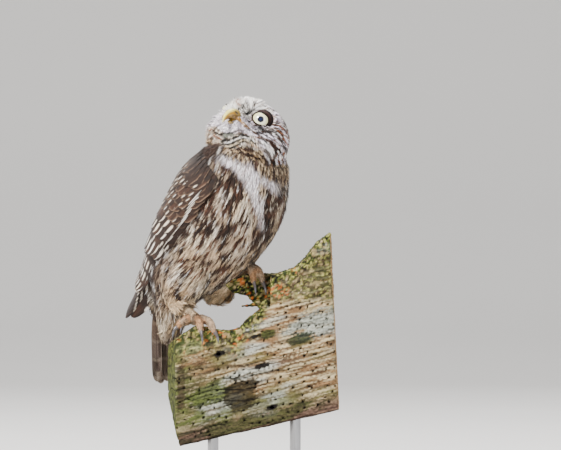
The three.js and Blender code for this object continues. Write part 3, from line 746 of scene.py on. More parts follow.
def bill_half(rows, sides, steps, shape):
    """One half of the bill: shape(angle, t) scales its section, 0 at the top."""
    path = [[r[0], 0, r[1]] for r in rows]
    centre, across, up, t = frames_along(path, steps)
    thick = curve([[r[2], r[3]] for r in rows], t)
    angle = np.linspace(0, 2 * math.pi, sides, endpoint=False)
    scale = shape(angle[None, :], t[:, None])
    top = up[:, None] * (np.cos(angle)[None] * thick[:, 1:2] * scale)[..., None]
    out = across[:, None] * (np.sin(angle)[None] * thick[:, :1] * scale)[..., None]
    points, faces = loft(centre[:, None] + top + out)
    return points, faces, np.repeat(t, sides), np.tile(angle, steps)


# The lower half as it closes behind the hook
BILL_CLOSED = [[15.5, -6.8, 5.4, 2.2], [20.5, -7.0, 4.4, 1.8], [24.8, -8.0, 1.5, 0.8]]
# The bare yellow edge that runs back from the bill under the eye
GAPE = [(21.2, 5.2, -3.6), (21.8, 8.8, -4.9), (20.4, 13.6, -6.6), (17.4, 19.2, -7.3), (15.4, 21.8, -7.6)]


def make_gape(side, name):
    path = np.array([mirrored(np.array(q), side) for q in GAPE])
    reach = head_reach(unit(path)) - (1.3 if side > 0 else 2.3)
    path = unit(path) * np.maximum(np.linalg.norm(path, axis=1), reach)[:, None]
    steps, sides = 40, 16
    t = np.linspace(0, 1, steps)
    centre = curve(path, t)
    up = unit(centre)
    across = np.cross(up, slope(path, t))
    thick = np.interp(t, [0, 0.1, 0.5, 1], [1.2, 1.6, 1.2, 0.6]) * (1 + 0.25 * np.sin(t * 17))
    points, faces = loft(round_section(centre, unit(across), up, thick * 0.8, thick * 0.7, sides))
    along = np.repeat(t, sides)
    worn = along + 0.6 * (noise(points, 1.5, 13) - 0.5)
    colour = mix(srgb(134, 92, 10), srgb(58, 32, 12), step(0.1, 0.8, worn))
    painted_piece(f"bill_{name}_gape", to_world(from_head(points)), faces, BILL, colour, "bill")


def make_bill():
    def keeled(angle, t):
        # A narrow ridge on top, and flat sides that narrow to the cutting edge
        top = np.cos(angle)
        return 1 - 0.13 * np.abs(np.sin(2 * angle)) * (0.3 + t) + 0.05 * (top > 0.9)

    points, faces, t, angle = bill_half(BILL_UPPER, 48, 60, keeled)
    for side in (1, -1):
        away = (points - mirrored(NOSTRIL, side)) / np.array([1.7, 1.6, 1.15])
        share = np.exp(-((away**2).sum(1)) * 1.6)
        inward = unit(np.array([-0.3, -0.9 * side, 0.1]))
        points = points + share[:, None] * inward * 1.5
    top = np.cos(angle)
    # Painted light on the bill: a pale yellow painted highlight along the top of its front part, and painted
    # shade on its lower sides
    colour = mix(srgb(162, 118, 10), srgb(244, 232, 128), step(0.62, 0.97, top) * step(0.2, 0.45, t))
    side_shade = step(0.55, -0.2, top) * step(1.0, 0.6, t)
    colour = mix(colour, srgb(62, 42, 8), side_shade * 0.9)
    colour = mix(colour, srgb(104, 64, 8), step(0.45, 0.7, noise(points, 2.2, 9)) * step(0.7, 0.2, top) * 0.7)
    cere = step(0.5, 0.25, t)
    colour = mix(colour, srgb(122, 100, 30), cere * 0.8)
    for side in (1, -1):
        away = np.linalg.norm((points - mirrored(NOSTRIL, side)) / np.array([1.3, 1.5, 0.9]), axis=1)
        colour = mix(colour, srgb(24, 18, 14), step(1.5, 0.75, away))
    blotch = noise(points, 1.6, 8)
    colour = mix(colour, srgb(196, 158, 20), 0.35 * step(0.5, 0.85, blotch))
    colour = mix(colour, srgb(250, 244, 214), step(0.86, 0.99, t) * 0.4)
    painted_piece("bill_upper_horn", to_world(from_head(points)), faces, BILL, colour, "bill", "bill_upper")

    points, faces, t, angle = bill_half(BILL_CLOSED, 36, 36, lambda a, t: 1 - 0.1 * np.abs(np.sin(2 * a)))
    colour = mix(srgb(120, 92, 44), srgb(190, 160, 96), t)
    painted_piece("bill_lower_horn", to_world(from_head(points)), faces, BILL, colour, "bill", "bill_lower")


# Toes and claws


def claw_path(leg, toe):
    path, way = toe_path(leg, toe)
    last = path[3] - path[2]
    start = math.atan2(-last[2], last @ way)
    points = [path[3] - unit(last) * 1.2]
    steps = 5
    for i in range(steps):
        angle = start - CLAW_RISE + (CLAW_END - start + CLAW_RISE) * (i + 0.5) / steps
        heading = way * math.cos(angle) - np.array([0, 0, math.sin(angle)])
        points.append(points[i] + heading * CLAW_LENGTH / steps)
    return np.array(points), way


def make_claws():
    for name, leg in LEGS.items():
        for toe_name, toe in TOES[name].items():
            path, way = claw_path(leg, toe)
            t = np.linspace(0, 1, 30)
            across = np.cross(way, [0, 0, 1])
            up = unit(np.cross(across, slope(path, t)))
            thick = CLAW_RADIUS * (1 - 0.9 * t**1.3)
            sides = np.repeat(across[None], len(t), 0)
            points, faces = loft(round_section(curve(path, t), sides, up, thick * 0.86, thick * 1.1, 20))
            along = np.repeat(t, 20)
            colour = mix(srgb(92, 84, 84), srgb(24, 21, 24), step(0.1, 0.8, along))
            # A paler blue-grey band over the claw's curve, fading before the tip, is a painted sheen
            colour = mix(colour, srgb(120, 122, 136), 0.5 * step(0.45, 0.6, along) * step(0.95, 0.7, along))
            claw = f"claw_{name}_{toe_name}"
            painted_piece(f"{claw}_horn", to_world(points), faces, HORN, colour, "claw", claw)


def tinted_material(name, roughness, scale, detail, share, dark, bump, **finish):
    """The painted colour, clouded with a dark one by a share of fine noise."""
    material, nodes, links, surface = shader(name, roughness, **finish)
    fine = noise_node(nodes, links, stretched(nodes, links, (1, 1, 1)), scale, detail)
    clouding = math_node(nodes, links, "MULTIPLY", fine, share)
    colour = blend_node(nodes, links, clouding, tint_of(nodes), dark)
    links.new(colour, surface.inputs["Base Color"])
    add_bump(nodes, links, surface, fine, *bump)
    return material


def eye_material():
    material, nodes, links, surface = shader("wet eye", 0.12, coat=1.0, specular=0.5)
    surface.inputs["Coat Roughness"].default_value = 0.02
    links.new(tint_of(nodes), surface.inputs["Base Color"])
    return material


EYE = eye_material()
LIDS = tinted_material("bare lids", 0.75, 1100.0, 3.0, 0.4, srgb(20, 13, 11), (0.0002, 0.6), specular=0.15)
HORN_LOOK = (1500.0, 2.0, 0.3, srgb(70, 54, 36), (0.0001, 0.4))
BILL = tinted_material("bill horn", 0.38, *HORN_LOOK, coat=0.25, specular=0.5)
HORN = tinted_material("claw horn", 0.3, *HORN_LOOK, coat=0.4, specular=0.5)

for side, name in ((1, "left"), (-1, "right")):
    make_eye(side, name)
    make_lids(side, name)
    make_gape(side, name)
make_bill()
make_claws()


# Timber


def timber_surface():
    """The perch's solid as one even fine surface, which make_timber weathers by vertex moves."""
    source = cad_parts["perch_timber"].data
    points = points_of(source)
    faces = [list(p.vertices) for p in source.polygons]
    made = add_mesh("timber_weathered", points, faces)
    weld = made.modifiers.new("weld", "WELD")
    weld.merge_threshold = 1e-6
    return remeshed(made, TIMBER_VOXEL, 1)


# The grain runs up to the right in the photograph
GRAIN_TURN = math.radians(15)
MOSS_DEPTH = 26.0
CRACK_SPACING = 8.5
WORM_SPACING = 6.0
# Slope across the face of the grain's markings and of the lower edge
GRAIN_RISE = 0.26
EDGE_RISE = 0.232
# Worn upper edge: place across and height, as in the part's source
TIMBER_EDGE = [
    (-52.6, 103), (-47.5, 114.5), (-29, 127.2), (-6, 123.4), (3, 125.6), (10.2, 133.6), (18.5, 139.7),
    (26, 160), (31, 165.7), (43, 169.4), (51, 177), (59, 187.6), (70, 196), (76, 198),
]


def along_grain(p):
    c, s = math.cos(GRAIN_TURN), math.sin(GRAIN_TURN)
    return np.stack([c * p[:, 0] + s * p[:, 2], p[:, 1], -s * p[:, 0] + c * p[:, 2]], -1)


def grained(g, along, size, seed):
    """Noise drawn out along the grain."""
    return layered_noise(g * np.array([along, 1, 1]), size, seed)


def worm_distance(g):
    """Distance in mm from each place to the middle of the nearest worm hole."""
    q = g[:, [0, 2]] / WORM_SPACING
    base = np.floor(q).astype(np.int64)
    zero = np.zeros(len(g), np.int64)
    nearest = np.full(len(g), 9.0)
    for dx in (-1, 0, 1):
        for dz in (-1, 0, 1):
            c = base + [dx, dz]
            across, up, lottery = (hashed(c[:, 0], c[:, 1], zero, seed) for seed in (71, 72, 73))
            away = np.linalg.norm(q - (c + np.stack([across, up], -1)), axis=1) * WORM_SPACING
            nearest = np.where(lottery > 0.35, np.minimum(nearest, away), nearest)
    return nearest


def weathering(p, n):
    """What the weather has done at each place: grain, lumps, moss, cracks and worm holes."""
    g = along_grain(p)
    w = SimpleNamespace(p=p, n=n, g=g)
    w.fibres = layered_noise(g * np.array([0.09, 0.8, 1.0]), 1.0, 21)
    w.thread = layered_noise(g * np.array([0.14, 1.2, 1.7]), 1.0, 172)
    w.lumps = layered_noise(p, 7.0, 31)
    w.crumbs = layered_noise(p, 2.2, 41, 2)
    depth = read_off(TIMBER_EDGE, p[:, 0]) - p[:, 2]
    w.mossy = step(MOSS_DEPTH, 2, depth + 14 * (w.lumps - 0.5))
    w.mossy = np.maximum(w.mossy, step(142, 150, p[:, 2]) * 0.8)
    # Long cracks along the grain
    rows = g[:, 2] / CRACK_SPACING + 1.1 * noise(g * np.array([0.03, 0.05, 0.0]), 1.0, 51)
    crack = np.abs(rows - np.round(rows)) * CRACK_SPACING
    open_share = step(0.52, 0.72, noise(g * np.array([0.04, 0.1, 0.12]), 1.0, 61))
    w.cracks = step(0.75, 0.1, crack) * open_share
    w.holes = step(0.95, 0.55, worm_distance(g)) * (np.abs(n[:, 1]) > 0.7) * (1 - w.mossy)
    return w


def make_timber():
    made = timber_surface()
    w = weathering(points_of(made.data) * 1000, normals_of(made.data))
    move = -0.9 * np.abs(w.fibres - 0.5) * (1 - w.mossy) - 1.3 * w.cracks * (1 - w.mossy)
    move = move + w.mossy * (w.crumbs - 0.62) * 2.6 + (w.lumps - 0.55) * 1.2
    move = move - 2.2 * w.holes
    w.p = w.p + w.n * move[:, None]
    made.data.vertices.foreach_set("co", (w.p / 1000).astype(np.float32).ravel())
    made.data.update()
    paint_points(made, timber_colour(w))
    made.data.polygons.foreach_set("use_smooth", np.ones(len(made.data.polygons), bool))
    made.data.materials.append(TIMBER)
    declared(made, "timber", "perch_timber")


# Patches on the weathered face: middle across and up, half width and height in mm, colour, strength
PATCHES = [
    (-33, 112, 13, 6, srgb(160, 164, 112), 0.8),
    (-22, 97, 14, 6, srgb(138, 104, 70), 0.6),
    (-19, 79, 15, 9, srgb(88, 98, 44), 0.9),
    (5, 79, 12, 13, srgb(52, 44, 22), 0.9),
    (-39, 84, 4, 17, srgb(64, 46, 36), 0.7),
    (62, 130, 22, 10, srgb(184, 190, 178), 0.8),
    (48, 119, 10, 4.5, srgb(34, 52, 26), 0.85),
    (24, 122, 5, 3, srgb(76, 84, 38), 0.9),
    (18, 60, 55, 6, srgb(74, 78, 38), 0.8),
]
# Knots: middle across and up, half width and height in mm
KNOTS = [(-11.7, 107.3, 3.4, 2.6), (19.7, 98.6, 4.6, 2.2), (27, 68.5, 3.4, 2.1), (15, 120, 3.2, 1.6)]


def bare_wood(w):
    p, g = w.p, w.g
    pale = mix(srgb(204, 186, 146), srgb(138, 106, 72), step(0.38, 0.6, w.fibres))
    pale = mix(pale, srgb(196, 202, 192), step(0.48, 0.62, grained(g, 0.4, 16.0, 81)) * 0.8)
    dark_grain = step(0.5, 0.62, layered_noise(g * np.array([0.06, 0.7, 1.0]), 1.0, 91))
    colour = mix(pale, srgb(74, 52, 36), dark_grain * 0.85)
    stain = step(0.5, 0.64, grained(g, 0.3, 9.0, 96))
    colour = mix(colour, mix(srgb(84, 70, 42), srgb(120, 116, 62), w.lumps), stain * 0.7)
    # Green algae over the lower left, and a brown lower edge
    low = step(34, 4, p[:, 2] - 52 - 0.22 * p[:, 0])
    left = step(6, -44, p[:, 0] + 0.2 * (p[:, 2] - 90))
    algae = step(0.42, 0.6, grained(g, 0.35, 10.0, 101) + 0.2 * left + 0.06 * low - 0.06)
    algae = algae * np.clip(left * 0.9 + low * 0.6 + 0.12, 0, 1)
    green = mix(srgb(92, 100, 50), srgb(50, 54, 28), step(0.35, 0.65, grained(g, 0.3, 3.0, 111)))
    colour = mix(colour, green, algae * (0.55 + 0.45 * step(0.35, 0.6, w.fibres)))
    edge = step(15, 3, p[:, 2] - 41 - EDGE_RISE * (p[:, 0] + 40))
    brown = mix(srgb(118, 88, 76), srgb(52, 38, 34), step(0.35, 0.65, w.fibres))
    return mix(colour, brown, edge * 0.85)


def patched(w, colour):
    uneven = 1.3 * (grained(w.g, 0.25, 4.0, 171) - 0.5)
    for x, z, wide, high, paint, strength in PATCHES:
        across = w.p[:, 0] - x
        away = np.hypot(across / wide, (w.p[:, 2] - z - GRAIN_RISE * across) / high)
        away = away + uneven + 0.9 * (w.thread - 0.5)
        lighter = mix(paint * 0.28, paint * 0.9, step(0.36, 0.6, w.thread))
        colour = mix(colour, lighter, step(1.05, 0.8, away) * strength * (w.p[:, 1] < 0))
    return colour


def moss_colour(p):
    """Moss and lichen along the worn top."""
    speckle = 0.6 * noise(p, 1.15, 121) + 0.4 * noise(p, 2.3, 126)
    moss = mix(srgb(14, 16, 7), srgb(82, 90, 34), step(0.45, 0.57, speckle))
    moss = mix(moss, srgb(170, 166, 92), step(0.6, 0.7, speckle))
    cushions = step(0.5, 0.65, layered_noise(p, 8.0, 128)) * step(0.66, 0.56, speckle)
    moss = mix(moss, srgb(60, 72, 34), 0.6 * cushions)
    moss = mix(moss, srgb(196, 172, 120), step(0.66, 0.76, noise(p, 2.1, 131)) * 0.55)
    rusty = step(0.57, 0.68, layered_noise(p, 9.0, 141)) * step(0.54, 0.66, noise(p, 1.4, 151))
    return mix(moss, srgb(206, 104, 40), rusty * 0.85 * (p[:, 0] < 45))


def end_colours(w, colour):
    """The slanted left end, green with rot, and the sawn right end with its rings."""
    p, n = w.p, w.n
    rotten = step(-0.75, -0.95, n[:, 0]) * (p[:, 2] < 130)
    rot = mix(srgb(98, 104, 46), srgb(40, 46, 20), step(0.35, 0.65, layered_noise(p, 2.4, 161)))
    colour = mix(colour, rot, rotten * 0.92)
    sawn = step(0.75, 0.95, n[:, 0]) * (p[:, 0] > 66)
    rings = 0.5 + 0.5 * np.sin(np.hypot(p[:, 1] + 30, p[:, 2] - 60) * 2.1 + 2 * w.lumps)
    return mix(colour, mix(srgb(196, 160, 112), srgb(150, 112, 72), rings), sawn * 0.85)


def knots(w, shade):
    """Dark knots in the front face, with cracks that run out of them along the grain."""
    for x, z, wide, high in KNOTS:
        across, up = w.p[:, 0] - x, w.p[:, 2] - z
        away = np.hypot(across / (wide * 1.15), (up - GRAIN_RISE * across) / high)
        ragged = away + 0.9 * (w.crumbs - 0.5) + 0.5 * (w.thread - 0.5)
        shade = np.maximum(shade, step(1.15, 0.85, ragged) * (w.p[:, 1] < -12))
        drift = up - GRAIN_RISE * across + 1.6 * (w.lumps - 0.5)
        run = step(2.6 * wide, wide, np.abs(across)) * step(0.9, 0.3, np.abs(drift))
        shade = np.maximum(shade, run * (w.p[:, 1] < -8) * 0.9)
    return shade


def timber_colour(w):
    colour = patched(w, bare_wood(w))
    colour = mix(colour, moss_colour(w.p), w.mossy * step(0.3, 0.42, w.crumbs + 0.1))
    colour = end_colours(w, colour)
    shade = knots(w, np.maximum(w.cracks * 0.85, w.holes))
    # Faces that turn downward are painted darker, as painted shade
    under = step(-0.3, -0.8, w.n[:, 2]) * 0.45
    colour = mix(colour, srgb(24, 19, 15), np.maximum(shade, under))
    return colour * (0.62 + 0.36 * step(0.3, 0.62, w.thread))[:, None]


def timber_material():
    material, nodes, links, surface = shader("weathered timber", 0.88, specular=0.2)
    grain_place = stretched(nodes, links, (60, 520, 700), (0, GRAIN_TURN, 0))
    grain = noise_node(nodes, links, grain_place, 1.0, 5.0)
    grit = noise_node(nodes, links, stretched(nodes, links, (1, 1, 1)), 900.0, 4.0, 0.7)
    grain_part = math_node(nodes, links, "MULTIPLY", grain, 0.6)
    grit_part = math_node(nodes, links, "MULTIPLY", grit, 0.4)
    both = math_node(nodes, links, "ADD", grain_part, grit_part)
    colour = shaded(nodes, links, tint_of(nodes), both, 0.45, 1.45)
    links.new(colour, surface.inputs["Base Color"])
    add_bump(nodes, links, surface, both, 0.0011, 0.9)
    return material


TIMBER = timber_material()
make_timber()


# Stand


def blended_material(name, roughness, stretch, scale, detail, first, second, bump=None, **finish):
    """Two colours blended by one stretched noise, which also raises the surface."""
    material, nodes, links, surface = shader(name, roughness, **finish)
    grain = noise_node(nodes, links, stretched(nodes, links, stretch), scale, detail)
    links.new(blend_node(nodes, links, grain, first, second), surface.inputs["Base Color"])
    if bump:
        add_bump(nodes, links, surface, grain, *bump)
    return material


BASE_SIZE = (172.0, 112.0)
BASE_CORNER = 20.0
# Section of the base's edge: how far in, and height
BASE_EDGE = [
    (30, 0), (1.6, 0), (0.5, 0.45), (0, 1.6), (0, 9.4), (0.5, 10.55), (1.6, 11), (3.2, 11), (30, 11),
]
# Section of the floor as it curves up into the backdrop, in metres
FLOOR = [(-6, 0), (2.2, 0), (2.7, 0.05), (3.1, 0.22), (3.35, 0.55), (3.45, 1.0), (3.45, 6)]
FLOOR_HALF = 8
FLOOR_DROP = 0.0002


def make_base():
    """A flat board with round corners and an eased edge."""
    rows = []
    for inset, height in BASE_EDGE:
        half_x, half_y = BASE_SIZE[0] / 2 - inset, BASE_SIZE[1] / 2 - inset
        corner = max(BASE_CORNER - inset, 2.0)
        ring = []
        for quarter, (sx, sy) in enumerate(((1, 1), (-1, 1), (-1, -1), (1, -1))):
            for a in np.linspace(quarter * math.pi / 2, (quarter + 1) * math.pi / 2, 14):
                x = sx * (half_x - corner) + corner * math.cos(a)
                y = sy * (half_y - corner) + corner * math.sin(a)
                ring.append([x, y, height])
        rows.append(ring)
    points, faces = loft(np.array(rows))
    declared(add_mesh("base_board", points / 1000, faces, BASE), "base", "stand_base")


BASE = blended_material(
    "stained base", 0.42, (6, 90, 90), 3.0, 6.0, srgb(38, 31, 28), srgb(78, 64, 56), (0.0002, 0.4), coat=0.25,
)
ROD = blended_material(
    "brushed rod", 0.3, (900, 900, 40), 1.0, 3.0, srgb(150, 150, 152), srgb(196, 196, 198), (0.00003, 0.3),
    specular=0.5, metallic=1.0,
)
make_base()
for name in ("stand_rod_1", "stand_rod_2"):
    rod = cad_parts[name]
    rod.data.materials.clear()
    rod.data.materials.append(ROD)


# Floor, light and camera


def make_studio():
    """A pale floor that curves up into a backdrop."""
    rows = []
    for y, z in FLOOR:
        rows.append([[-FLOOR_HALF, y, z - FLOOR_DROP], [FLOOR_HALF, y, z - FLOOR_DROP]])
    points = np.array(rows).reshape(-1, 3)
    faces = [[2 * i, 2 * i + 1, 2 * i + 3, 2 * i + 2] for i in range(len(rows) - 1)]
    pale = srgb(226, 223, 219), srgb(232, 229, 225)
    material = blended_material("studio", 0.9, (1, 1, 1), 3.0, 2.0, *pale, specular=0.1)
    add_mesh("studio_floor", points, faces, material)


def add_light(name, place, size, power, colour=(1, 1, 1)):
    light = bpy.data.lights.new(name, "AREA")
    light.shape = "DISK"
    light.size = size
    light.energy = power
    light.color = colour
    made = bpy.data.objects.new(name, light)
    made.location = place
    aim = Vector((0, 0, 0.2)) - Vector(place)
    made.rotation_euler = aim.to_track_quat("-Z", "Y").to_euler()
    bpy.context.scene.collection.objects.link(made)


def make_camera():
    camera = bpy.data.cameras.new("camera")
    camera.sensor_width = SENSOR
    camera.lens = SENSOR * CAMERA_DISTANCE * 1000 / (PICTURE_WIDTH * PIXEL)
    camera.clip_start, camera.clip_end = 0.1, 30
    made = bpy.data.objects.new("camera", camera)
    made.location = (PICTURE_MIDDLE[0] / 1000, -CAMERA_DISTANCE, PICTURE_MIDDLE[1] / 1000)
    made.rotation_euler = (math.radians(90), 0, 0)
    bpy.context.scene.collection.objects.link(made)
    bpy.context.scene.camera = made


make_studio()
add_light("key", (-1.2, -1.3, 2.0), 0.6, 146, (1.0, 0.985, 0.96))
add_light("fill", (1.6, -1.7, 0.9), 1.4, 20, (0.95, 0.97, 1.0))
add_light("top", (0.1, 0.7, 1.9), 1.2, 46, (0.97, 0.98, 1.0))
world = bpy.data.worlds.new("soft sky")
world.use_nodes = True
world.node_tree.nodes["Background"].inputs["Color"].default_value = (0.82, 0.86, 0.92, 1)
world.node_tree.nodes["Background"].inputs["Strength"].default_value = 0.52
bpy.context.scene.world = world
make_camera()


# Markings, painted alike on the skin and on the feathers over it


def cells(across, along, wide, long, seed):
    """Staggered feather-like cells: place across from -1 to 1, along from 0 to 1, and a number for each."""
    row = np.floor(along / long).astype(np.int64)
    shifted = across / wide + 0.5 * (row % 2)
    column = np.floor(shifted).astype(np.int64)
    lottery = hashed(row, column, np.zeros(len(row), np.int64), seed)
    return (shifted - column - 0.5) * 2, along / long - row, lottery


def streaks(across, along, seed):
    """Noise over a flat field, for streaks along the lie."""
    return noise(np.stack([across, along, 0 * along], -1), 1.0, seed)


# Millimetres round the body to a radian
TORSO_ROUND = 38
HEAD_ROUND = 29
# How dark the streaking is at each height up the torso
DARKNESS = [(-90, 0.425), (-60, 0.475), (-35, 0.515), (-10, 0.545), (15, 0.555), (40, 0.555), (60, 0.56)]
# White crescent as the camera sees it, in mm: place across and height of its middle
CRESCENT = [(-26, 252.5), (-21, 251.0), (-8, 247.6), (4.4, 242.0), (12, 237.6), (19.7, 232.0), (26, 227.5)]
# White stripe below it: height, place across of its middle, half width
STRIPE = [
    (200, 16.2, 1.4), (207, 15.8, 2.3), (215, 14.8, 3.0), (223, 12.8, 3.8), (231, 9.8, 4.6), (240, 6.5, 5.0),
]
# Middle of the big buff patch before the wing, as the camera sees it
SHOULDER_PATCH = (-16.8, 239.4)


def torso_field(p):
    """What the torso's markings are drawn from at each place."""
    _, angle, down, _ = trunk_place(p)
    f = SimpleNamespace(p=p, angle=angle, down=down, height=p[:, 2])
    f.x, f.z = (to_world(p) * 1000)[:, [0, 2]].T
    f.warp = (layered_noise(p, 9.0, 201, 2) - 0.5) * 5
    f.around = np.radians(angle - 180) * TORSO_ROUND
    f.bend = f.around + f.warp
    # Streaks along the lie at three sizes
    f.broad = streaks(f.bend * 0.42, down * 0.1, 211)
    f.middle = streaks(f.bend * 0.85, down * 0.17, 216)
    f.fine = streaks(f.around * 1.6 + f.warp * 0.5, down * 0.28, 221)
    f.streak = 0.36 * f.broad + 0.38 * f.middle + 0.26 * f.fine
    f.behind = step(112, 78, np.minimum(angle, 360 - angle))
    return f


def breast_streaks(f):
    p, height = f.p, f.height
    dark_below = read_off(DARKNESS, height)
    dark_below = dark_below + 0.035 * step(200, 176, f.angle) * step(-45, -20, height)
    dark_below = dark_below + 0.03 * step(252, 282, f.angle) * step(-50, -25, height)
    # Browner between the crescent and the stripe, and darker under the wing's edge as painted shade
    blotch = step(1.2, 0.6, np.hypot((f.x + 5) / 8, (f.z - 234) / 9)) * (f.angle > 180)
    dark_below = dark_below + 0.07 * blotch + 0.03 * step(240, 262, f.angle) * step(-20, 0, height)
    brown = mix(BROWN, CHOCOLATE, step(0.35, 0.65, f.fine))
    brown = mix(brown, RUFOUS, 0.3 * step(0.55, 0.85, noise(p, 5.0, 231)))
    brown = mix(brown, DARK, 0.6 * step(0.4, 0.33, f.streak))
    whiter = step(-50, 20, height) * 0.2 + 0.4 * step(0.5, 0.8, noise(p, 7.0, 236))
    pale = mix(CREAM * 0.94, WHITE, whiter)
    warm = step(0.38, 0.62, layered_noise(p, 9.0, 241, 2))
    pale = mix(pale, BUFF, warm * (0.5 + 0.25 * step(10, -40, height)))
    pale = mix(pale, srgb(126, 106, 92), 0.6 * step(0.52, 0.36, f.fine))
    pale = mix(pale, srgb(150, 128, 110), 0.6 * step(0.45, 0.65, layered_noise(p, 12.0, 242, 2)))
    colour = mix(brown, pale, step(dark_below - 0.03, dark_below + 0.03, f.streak))
    # Single feathers, some with a dark shaft and some with a pale end
    across, along, lottery = cells(f.around + f.warp * 0.6, f.down + 3 * f.middle, 3.4, 6.0, 246)
    shafted = step(0.3, 0.16, np.abs(across + 0.4 * (lottery - 0.5))) * step(0.15, 0.35, along)
    colour = mix(colour, mix(CHOCOLATE, DARK, lottery), shafted * (lottery > 0.35) * 0.8)
    tipped = step(0.35, 0.2, np.hypot(across, (along - 0.75) * 1.6)) * (lottery < 0.22)
    return mix(colour, mix(WHITE, CREAM, lottery), tipped * 0.8)


def collar_and_crescent(f, colour):
    """Where the camera sees the neck: its white crescent, with the brown collar above it."""
    above = f.z - read_off(CRESCENT, f.x) + f.warp * 0.5 + (f.fine - 0.5) * 4
    mottle = 0.6 * streaks(f.bend, f.down * 0.5, 251) + 0.4 * f.fine
    brown = mix(BROWN, CHOCOLATE, step(0.3, 0.7, f.fine))
    collar = mix(brown, mix(CREAM, BUFF, f.middle), 0.9 * step(0.56, 0.63, mottle))
    colour = mix(colour, collar, step(2.6, 4.4, above))
    wide = np.interp(f.x, [-24, 0, 20], [2.4, 3.0, 3.6])
    crescent = step(wide + 0.8, wide - 0.8, np.abs(above + 0.8)) * (1 - f.behind) * step(31, 24, f.x)
    gaps = 0.75 * step(0.56, 0.66, f.middle * 0.4 + f.fine * 0.6)
    streaky = mix(mix(WHITE, LILAC, f.fine), srgb(120, 98, 88), gaps)
    return mix(colour, streaky, crescent * 0.96)


def white_stripe(f, colour):
    """The stripe that runs down the breast from the crescent."""
    off = f.x - read_off(STRIPE, f.z) + f.warp * 0.5 + (f.fine - 0.5) * 3
    inside = step(1.25, 0.75, np.abs(off) / read_off(STRIPE, f.z, 2))
    inside = inside * step(197, 204, f.z) * step(247, 239, f.z)
    front = step(90, 60, np.abs(f.angle - 205))
    gaps = 0.8 * step(0.5, 0.62, 0.4 * f.middle + 0.6 * f.fine)
    greyish = mix(mix(WHITE, LILAC, f.fine), srgb(140, 120, 112), gaps)
    return mix(colour, greyish, inside * front * 0.94)


def shoulder_patch(f, colour):
    """The big buff patch before each wing."""
    near = to_world(np.stack([f.p[:, 0], -np.abs(f.p[:, 1]), f.p[:, 2]], -1)) * 1000
    across, up = near[:, 0] - SHOULDER_PATCH[0], near[:, 2] - SHOULDER_PATCH[1]
    patch = np.hypot((across - 0.35 * up) / 3.4, up / 6.8)
    buff = mix(srgb(236, 212, 184), BUFF, 0.6 * f.fine)
    return mix(colour, buff, step(1.15, 0.8, patch + 0.5 * (f.middle - 0.5)) * 0.9)


def torso_colour(p):
    f = torso_field(p)
    colour = white_stripe(f, collar_and_crescent(f, breast_streaks(f)))
    colour = shoulder_patch(f, colour)
    # Shadowed brown under the wing's edge
    wing_side = step(262, 284, f.angle) * step(-75, -50, f.height)
    colour = mix(colour, mix(CHOCOLATE, DARK, 0.4), wing_side * 0.6)
    # Back and sides under the wings: brown with white drops
    across, along, lottery = cells(f.around + f.warp * 0.4, f.down, 9.0, 11.0, 261)
    spot = step(0.42, 0.22, np.hypot(across, (along - 0.7) * 1.3)) * (lottery > 0.3)
    backed = mix(mix(BROWN, CHOCOLATE, 0.4 + 0.4 * lottery), WHITE, spot * 0.85)
    return mix(colour, backed, f.behind * step(-60, -40, f.height))


# Edge of the plain chin below the bill: degrees round the bill, degrees away from its line
CHIN_EDGE = [(96, 50), (104, 53), (116, 55), (133, 40), (160, 38), (180, 38)]
